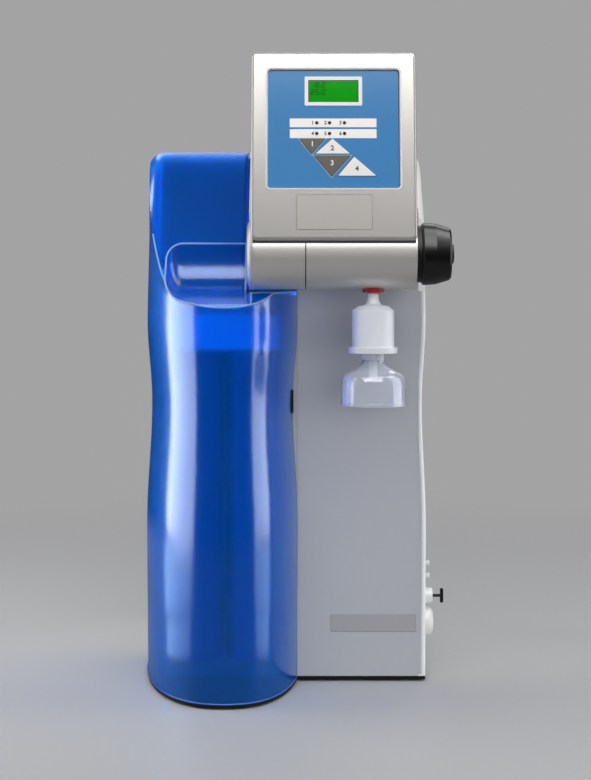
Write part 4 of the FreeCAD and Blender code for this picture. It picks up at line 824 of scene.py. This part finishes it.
def reading(name, figures, left, low, width, height, stroke):
    """One row of figures, drawn as flat bars on the glass; a dot takes less room than a figure."""
    points, faces = [], []
    cursor = left
    for figure in figures:
        if figure == ".":
            spans = [((cursor, low), (cursor + stroke, low + stroke))]
            cursor += width * dot_pitch
        else:
            spans = []
            for letter in figure_segments[figure]:
                (x0, y0), (x1, y1) = segment_ends[letter]
                x0, x1 = sorted((cursor + x0 * width, cursor + x1 * width))
                y0, y1 = sorted((low + y0 * height / 2, low + y1 * height / 2))
                grow_x = 0 if x1 > x0 else stroke / 2
                grow_y = 0 if y1 > y0 else stroke / 2
                shrink_x = stroke * segment_gap if x1 > x0 else 0
                shrink_y = stroke * segment_gap if y1 > y0 else 0
                spans.append(((x0 - grow_x + shrink_x, y0 - grow_y + shrink_y),
                              (x1 + grow_x - shrink_x, y1 + grow_y - shrink_y)))
            cursor += width * figure_pitch
        for (x0, y0), (x1, y1) in spans:
            start = len(points)
            for out in (glass_front, glass_front + print_thickness):
                points += [on_display @ Vector(spot) for spot in
                           ((x0, y0, out), (x1, y0, out), (x1, y1, out), (x0, y1, out))]
            faces += [tuple(start + corner for corner in face) for face in end_faces(2, 4) + ring_faces(2, 4)]
    begin_piece(name, solid_mesh(name, points, faces), segment_ink, "display")


figure_left, figure_width, figure_height, figure_stroke = 0.0128, 0.0026, 0.0044, 0.0006
upper_low, lower_low = 0.1359, 0.1296
reading("reading_upper", "18.2", figure_left, upper_low, figure_width, figure_height, figure_stroke)
reading("reading_lower", "25.0", figure_left, lower_low, figure_width, figure_height, figure_stroke)

# Keys. Four triangular keys of silicone under printed caps: two warm grey ones that point down, two white ones
# that point up. Each stands a little proud of the overlay and carries a plain number.
key_grey = moulded_plastic("printed key cap, warm grey", "#625d57", "#5b5650", 0.22, 0.0010)
key_white = moulded_plastic("printed key cap, white", "#f0ecea", "#e7e3e1", 0.34, 0.0010)
for node, finish in (("key_down_upper", key_grey), ("key_down_lower", key_grey),
                     ("key_up_upper", key_white), ("key_up_lower", key_white)):
    dress(node, finish)

white_ink = moulded_plastic("white screen-printing ink", "#eeece8", "#e6e4e0", 0.45, 0.0008)
key_faces = {"key_down_upper": ("1", white_ink, "down_upper"), "key_up_upper": ("2", black_ink, "up_upper"),
             "key_down_lower": ("3", white_ink, "down_lower"), "key_up_lower": ("4", black_ink, "up_lower")}
key_digit_height, base_share, cut_key_centre = 0.0042, 0.36, 0.0306
for node, (digit, ink, body) in key_faces.items():
    low, high = on_display_span(node)
    rise = high.y - low.y
    up = high.y - rise * base_share if "down" in node else low.y + rise * base_share
    centre = cut_key_centre if node == "key_up_upper" else (low.x + high.x) / 2
    printed_text(node + "_mark", digit, key_digit_height, (centre, up), high.z, on_display, ink, body)

# Sterile filter. A milky polypropylene capsule, welded over a pleated membrane, and a clear bell pushed on
# under it that keeps dust off the outlet; both are thin round mouldings.


def clear_plastic(name, colour, shade, roughness, clearness, haze, **looks):
    """Thin clear or milky plastic: light goes through it, and flow lines from moulding drift in it."""
    material, tree = new_material(name)
    place = add(tree, "ShaderNodeTexCoord", {}).outputs["Object"]
    flow = add(tree, "ShaderNodeTexNoise", {"Vector": place, "Scale": 1 / haze, "Detail": 2.0})
    tone = add(tree, "ShaderNodeMix", {0: flow.outputs["Fac"], 6: paint(colour), 7: paint(shade)},
               data_type="RGBA")
    rough = add(tree, "ShaderNodeMapRange", {"Value": flow.outputs["Fac"], "To Min": roughness * 0.8,
                                             "To Max": roughness * 1.2})
    shader = add(tree, "ShaderNodeBsdfPrincipled", {
        "Base Color": tone.outputs[2], "Roughness": rough.outputs["Result"], "IOR": 1.5,
        "Transmission Weight": clearness})
    for socket, value in looks.items():
        shader.inputs[socket.replace("_", " ")].default_value = value
    add(tree, "ShaderNodeOutputMaterial", {"Surface": shader.outputs["BSDF"]})
    return material


capsule_plastic = clear_plastic("milky polypropylene, moulded thin", "#f6f8fc", "#eceff7", 0.3, 0.25, 0.02)
dress("filter_capsule", capsule_plastic)
bell_low, bell_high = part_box("filling_bell")
bell_centre = (bell_low + bell_high) / 2
bell_radius, bell_height, bell_wall = (bell_high.x - bell_low.x) / 2, bell_high.z - bell_low.z, 0.0014
bell_shares = ((0.137, 1.0), (0.305, 1.0), (0.31, 0.93), (0.32, 0.84), (0.365, 0.785), (0.50, 0.725),
               (0.70, 0.66), (0.87, 0.585), (0.955, 0.49), (0.98, 0.36), (0.99, 0.1), (1.0, 0.05), (1.0, 0.0))


def smooth_outline(points, pieces):
    """Points along a smooth line through the points given."""
    line = []
    for place in range(len(points) - 1):
        p0, p1 = points[max(place - 1, 0)], points[place]
        p2, p3 = points[place + 1], points[min(place + 2, len(points) - 1)]
        for step in range(pieces):
            t = step / pieces
            line.append(0.5 * (2 * p1 + (p2 - p0) * t + (2 * p0 - 5 * p1 + 4 * p2 - p3) * t * t
                               + (3 * p1 - p0 - 3 * p2 + p3) * t * t * t))
    return line + [points[-1]]


def lathe(name, outline, centre, steps, wall):
    """Turns an open outline of (radius, height) points about an upright axis and gives it a wall."""
    points = [(centre.x + spot.x * math.cos(math.tau * step / steps),
               centre.y + spot.x * math.sin(math.tau * step / steps), spot.y)
              for step in range(steps) for spot in outline]
    count = len(outline)
    faces = [(step * count + place, step * count + place + 1, (step + 1) % steps * count + place + 1,
              (step + 1) % steps * count + place) for step in range(steps) for place in range(count - 1)]
    holder = in_scene(name, solid_mesh(name, points, faces))
    solid = holder.modifiers.new("wall", "SOLIDIFY")
    solid.thickness, solid.offset, solid.use_even_offset = wall, -1.0, True
    finished = finished_mesh(holder)
    finished.shade_smooth()
    tidy_faces(finished)
    return finished


bell_outline = smooth_outline([Vector((bell_radius * out, bell_low.z + bell_height * up))
                               for out, up in bell_shares], 5)
bell_mesh = lathe("bell_shell", bell_outline, bell_centre, 96, bell_wall)
bell_plastic = clear_plastic("clear styrene, moulded thin", "#f4f6fb", "#e9edf6", 0.1, 0.82, 0.03)
bell = begin_piece("bell_shell", bell_mesh, bell_plastic, "filter")
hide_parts("filling_bell")


def rib_tree(material):
    """Upright ribs round a collar, each a thin rounded bar."""
    tree, sizes = node_tree("collar ribs", {
        "Count": "NodeSocketInt", "Collar Radius": "NodeSocketFloat", "Height": "NodeSocketFloat",
        "Thickness": "NodeSocketFloat", "Centre": "NodeSocketVector"})
    ring = add(tree, "GeometryNodeMeshCircle", {"Vertices": sizes["Count"], "Radius": sizes["Collar Radius"]})
    bar = add(tree, "GeometryNodeMeshCylinder", {"Vertices": 8, "Radius": sizes["Thickness"],
                                                 "Depth": sizes["Height"]})
    bars = add(tree, "GeometryNodeInstanceOnPoints", {"Points": ring.outputs["Mesh"],
                                                      "Instance": bar.outputs["Mesh"]})
    placed = add(tree, "GeometryNodeTransform", {"Geometry": bars.outputs["Instances"],
                                                 "Translation": sizes["Centre"]})
    real = add(tree, "GeometryNodeRealizeInstances", {"Geometry": placed.outputs["Geometry"]})
    painted = add(tree, "GeometryNodeSetMaterial", {"Geometry": real.outputs["Geometry"], "Material": material})
    add(tree, "NodeGroupOutput", {"Geometry": painted.outputs["Geometry"]})
    return tree


milky_plastic = clear_plastic("milky polypropylene, moulded thick", "#f2f4fa", "#e8ebf4", 0.35, 0.2, 0.02)
collar_share, collar_height_share, rib_count, rib_radius = 0.325, 0.13, 28, 0.0009
collar_height = bell_height * collar_height_share
collar_mesh = grow(rib_tree(milky_plastic), {
    "Count": rib_count, "Collar Radius": bell_radius * collar_share - rib_radius, "Height": collar_height,
    "Thickness": rib_radius, "Centre": (bell_centre.x, bell_centre.y, bell_high.z - collar_height / 2)},
    [(0, 0, 0)])
begin_piece("collar_ribs", collar_mesh, milky_plastic, "filter")
cone_shares = ((0.16, 0.0), (0.175, -0.12), (0.22, -0.2), (0.28, -0.235))
capsule_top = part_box("filter_capsule")[1].z
cone_outline = smooth_outline([Vector((bell_radius * out, capsule_top + bell_height * up))
                               for out, up in cone_shares], 4)
cone_mesh = lathe("inlet_cone", cone_outline, bell_centre, 48, bell_wall / 2)
begin_piece("inlet_cone", cone_mesh, milky_plastic, "filter")
pleat_paper = moulded_plastic("pleated membrane, cast", "#f2f2ee", "#e6e6e0", 0.7, 0.0008)
dress("filter_pleats", pleat_paper)

# Blue cover and its latch. Translucent cobalt polycarbonate, 3 mm thick and polished, in one moulding with the
# groove for the head; the latch is a black slider in its right wall.
cover_plastic = clear_plastic("cobalt polycarbonate, moulded and polished", "#009fff", "#0095fa", 0.18, 0.9,
                              0.06, IOR=1.4)
dress("blue_cover", cover_plastic)
dress("cover_latch", black_plastic)
sharp_angle, same_place = math.radians(32), 0.00002


def edge_lines(node, wanted):
    """The sharp outer edges of a node that pass a test, joined end to end into lines of points."""
    work = bmesh.new()
    work.from_mesh(frame["nodes"][node].data)
    bmesh.ops.remove_doubles(work, verts=work.verts, dist=same_place)
    chosen = [edge for edge in work.edges if len(edge.link_faces) == 2 and edge.is_convex
              and edge.calc_face_angle() > sharp_angle and wanted(edge)]
    joined = {}
    for edge in chosen:
        for vert in edge.verts:
            joined.setdefault(vert.index, []).append(edge)
    lines, used = [], set()
    ends = [index for index, edges in joined.items() if len(edges) == 1] + list(joined)
    for start in ends:
        here, line = start, []
        while True:
            open_edges = [edge for edge in joined[here] if edge.index not in used]
            if not open_edges:
                break
            edge = open_edges[0]
            used.add(edge.index)
            there = next(vert for vert in edge.verts if vert.index != here)
            if not line:
                line.append(edge.other_vert(there).co.copy())
            line.append(there.co.copy())
            here = there.index
        if len(line) > 2:
            lines.append(line)
    work.free()
    return lines


cover_low, cover_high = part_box("blue_cover")
lip_front, lip_low, lip_high, lip_right = -0.095, 0.325, 0.392, -0.002
foot_band, groove_bead, foot_bead = 0.0006, 0.0008, 0.0007


def round_groove(edge):
    """Whether an edge lies on the mouth of the groove."""
    middle = (edge.verts[0].co + edge.verts[1].co) / 2
    return middle.y < lip_front and lip_low < middle.z < lip_high and middle.x < lip_right


def round_foot(edge):
    """Whether an edge lies on the outer foot of the cover."""
    middle = (edge.verts[0].co + edge.verts[1].co) / 2
    outwards = middle - Vector(((cover_low.x + cover_high.x) / 2, (cover_low.y + cover_high.y) / 2, middle.z))
    side = max(edge.link_faces, key=lambda face: 1 - abs(face.normal.z))
    return middle.z < cover_low.z + foot_band and side.normal.dot(outwards) > 0


# The bead along the groove's mouth is a real rounded edge, but its pale blue is painted highlight, much lighter
# than the cover.
groove_highlight_plastic = clear_plastic("cobalt polycarbonate, moulded lip", "#9cc9ff", "#8fc0fb", 0.12, 0.3, 0.03, IOR=1.5)
# The bead round the cover's foot is a real rounded edge, but its lighter blue is painted highlight, a light line
# along the lower rim.
foot_highlight_plastic = clear_plastic("cobalt polycarbonate, moulded foot", "#3f7ce0", "#3672d6", 0.14, 0.3, 0.03,
                             IOR=1.5)
lip_along("groove_lip", edge_lines("blue_cover", round_groove), groove_bead, groove_highlight_plastic, "cover")
lip_along("foot_lip", edge_lines("blue_cover", round_foot), foot_bead, foot_highlight_plastic, "cover")

# The studio. A pale floor fades into a pale surround; soft panels at the sides, above, behind and in front
# light the object. Strips that light the cover alone, as if flags kept them off the rest, draw its long
# highlights, and four low ones stand for what the bench throws back on its foot.
surround_grey = "#a3a3a4"
fade_start, fade_end, floor_gloss_share = 0.3, 1.3, 0.6
floor_material, tree = new_material("pale studio floor")
spot = add(tree, "ShaderNodeTexCoord", {}).outputs["Object"]
reach = add(tree, "ShaderNodeVectorMath", {0: spot}, operation="LENGTH")
fade = add(tree, "ShaderNodeMapRange", {"Value": reach.outputs["Value"], "From Min": fade_start,
                                          "From Max": fade_end},
           interpolation_type="SMOOTHSTEP")
path = add(tree, "ShaderNodeLightPath", {})
seen = add(tree, "ShaderNodeMath", {0: path.outputs["Is Camera Ray"], 1: path.outputs["Is Transmission Ray"]},
           operation="MAXIMUM")
dimmed = add(tree, "ShaderNodeMath", {0: path.outputs["Is Glossy Ray"], 1: floor_gloss_share},
             operation="MULTIPLY")
share = add(tree, "ShaderNodeMath", {0: fade.outputs["Result"], 1: dimmed.outputs[0]}, operation="MAXIMUM")
near_floor = add(tree, "ShaderNodeBsdfPrincipled", {"Base Color": paint("#babbbc"), "Roughness": 0.5})
far_floor = add(tree, "ShaderNodeEmission", {"Color": paint(surround_grey), "Strength": seen.outputs[0]})
blend = add(tree, "ShaderNodeMixShader", {0: share.outputs[0], 1: near_floor.outputs["BSDF"],
                                          2: far_floor.outputs["Emission"]})
add(tree, "ShaderNodeOutputMaterial", {"Surface": blend.outputs["Shader"]})
floor_reach = 30.0
floor_mesh = bpy.data.meshes.new("floor")
floor_mesh.from_pydata([(-floor_reach, -floor_reach, 0), (floor_reach, -floor_reach, 0),
                        (floor_reach, floor_reach, 0), (-floor_reach, floor_reach, 0)], [], [(0, 1, 2, 3)])
floor_mesh.materials.append(floor_material)
floor = in_scene("floor", floor_mesh)

world = bpy.data.worlds.new("studio")
bpy.context.scene.world = world
world.use_nodes = True
world.node_tree.nodes.clear()
tree = world.node_tree
path = add(tree, "ShaderNodeLightPath", {})
shown = add(tree, "ShaderNodeMath", {0: path.outputs["Is Camera Ray"], 1: path.outputs["Is Transmission Ray"]},
            operation="MAXIMUM")
ambient = add(tree, "ShaderNodeBackground", {"Color": paint("#e4e5e7"), "Strength": 0.28})
surround = add(tree, "ShaderNodeBackground", {"Color": paint(surround_grey), "Strength": 1.0})
dark_side = add(tree, "ShaderNodeBackground", {"Color": paint("#2e2f30"), "Strength": 1.0})
lit = add(tree, "ShaderNodeMixShader", {0: path.outputs["Is Glossy Ray"], 1: ambient.outputs["Background"],
                                        2: dark_side.outputs["Background"]})
sky = add(tree, "ShaderNodeMixShader", {0: shown.outputs[0], 1: lit.outputs["Shader"],
                                        2: surround.outputs["Background"]})
add(tree, "ShaderNodeOutputWorld", {"Surface": sky.outputs["Shader"]})


def soft_panel(name, middle, target, size, strengths, only, tint):
    """A soft light turned to the target: its fill, its reflections and its glow through plastic.

    When a group is given, the light falls on that group alone.
    """
    turn = (target - middle).to_track_quat("-Z", "Y").to_matrix().to_4x4()
    for part, brightness, back in zip(("fill", "shine", "glow"), strengths, (0.04, 0.02, 0.0)):
        if not brightness:
            continue
        light = bpy.data.lights.new(f"{name} {part}", "AREA")
        light.shape = "RECTANGLE"
        light.size, light.size_y = size
        light.energy = brightness * math.pi * size[0] * size[1]
        light.color = paint(tint)[:3]
        panel = bpy.data.objects.new(light.name, light)
        panel.matrix_world = Matrix.Translation(middle) @ turn @ Matrix.Translation((0, 0, back))
        panel.visible_camera = False
        panel.visible_diffuse = part == "fill"
        panel.visible_glossy = part == "shine"
        panel.visible_transmission = part == "glow"
        if only:
            panel.light_linking.receiver_collection = only
        bpy.context.scene.collection.objects.link(panel)


cover_group = bpy.data.collections.new("cover only")
cover_group.objects.link(frame["nodes"]["blue_cover"])
white_light, bench_light = "#ffffff", "#b4dcff"
# Each row: name, middle, target, width and height, then the strengths of its fill, shine and glow.
studio_lights = (
    ("left panel", (-1.00, 0.10, 0.72), (0, 0.10, 0.72), (1.10, 1.46), (2.1, 1.5, 6.0), None, white_light),
    ("left strip", (-0.90, 0.055, 0.645), (0, 0.055, 0.645), (0.97, 1.28), (0, 6.2, 0), cover_group,
     white_light),
    ("right panel", (1.20, -0.06, 0.77), (0, -0.06, 0.77), (0.90, 1.54), (1.8, 1.5, 5.0), None, white_light),
    ("right strip", (0.90, -0.09, 0.64), (0, -0.09, 0.64), (0.68, 1.27), (0, 5.4, 0), cover_group, white_light),
    ("top panel", (0, -1.59, 1.75), (0, -0.15, 0.36), (2.4, 1.12), (2.3, 5.2, 11.0), None, white_light),
    ("overhead panel", (0, -0.95, 2.30), (0, -0.15, 0.36), (2.6, 0.5), (0, 5.0, 0), None, white_light),
    ("groove strip", (-0.2, -1.36, 2.16), (0, -0.15, 0.36), (3.2, 1.30), (0, 4.2, 0), cover_group, white_light),
    ("left bench far", (-0.42, -0.08, 0.04), (0, -0.20, 0.04), (0.39, 0.080), (0, 3.5, 0), cover_group,
     bench_light),
    ("left bench near", (-0.25, -0.13, 0.016), (0, -0.20, 0.016), (0.18, 0.032), (0, 3.0, 0), cover_group,
     bench_light),
    ("right bench far", (0.30, -0.147, 0.04), (0, -0.17, 0.04), (0.25, 0.080), (0, 3.8, 0), cover_group,
     bench_light),
    ("right bench near", (0.15, -0.158, 0.016), (0, -0.17, 0.016), (0.125, 0.032), (0, 3.2, 0), cover_group,
     bench_light),
    ("back panel", (0, 1.50, 1.65), (0, 0, 0.40), (1.9, 0.6), (2.6, 2.5, 6.0), None, white_light),
    ("corner panel", (0.95, 0.0, 2.10), (0.12, -0.17, 0.38), (1.1, 1.5), (0, 4.5, 0), None, white_light),
    ("front panel", (0.4, -2.3, 0.45), (0, -0.1, 0.30), (1.6, 0.8), (3.8, 0, 0), None, white_light))
for light_name, middle, target, size, strengths, only, tint in studio_lights:
    soft_panel(light_name, Vector(middle), Vector(target), size, strengths, only, tint)

# The camera. Level, a little over a third of a metre above the bench and 1.7 m in front of the front panel. The
# frame is shifted down, so that upright edges stay upright; the focal length is in the photograph's pixels.
camera_data = bpy.data.cameras.new("camera")
focal_pixels, frame_tall, horizon_row, sensor_tall = 1927.0, 780.0, 260.0, 36.0
camera_data.sensor_fit = "VERTICAL"
camera_data.sensor_height = sensor_tall
camera_data.lens = focal_pixels / frame_tall * sensor_tall
camera_data.shift_y = (horizon_row - frame_tall / 2) / frame_tall
camera = bpy.data.objects.new("camera", camera_data)
camera.location = (0, -1.785, 0.3714)
camera.rotation_euler = (math.pi / 2, 0, 0)
bpy.context.scene.collection.objects.link(camera)
bpy.context.scene.camera = camera
bpy.context.scene.view_settings.view_transform = "Standard"
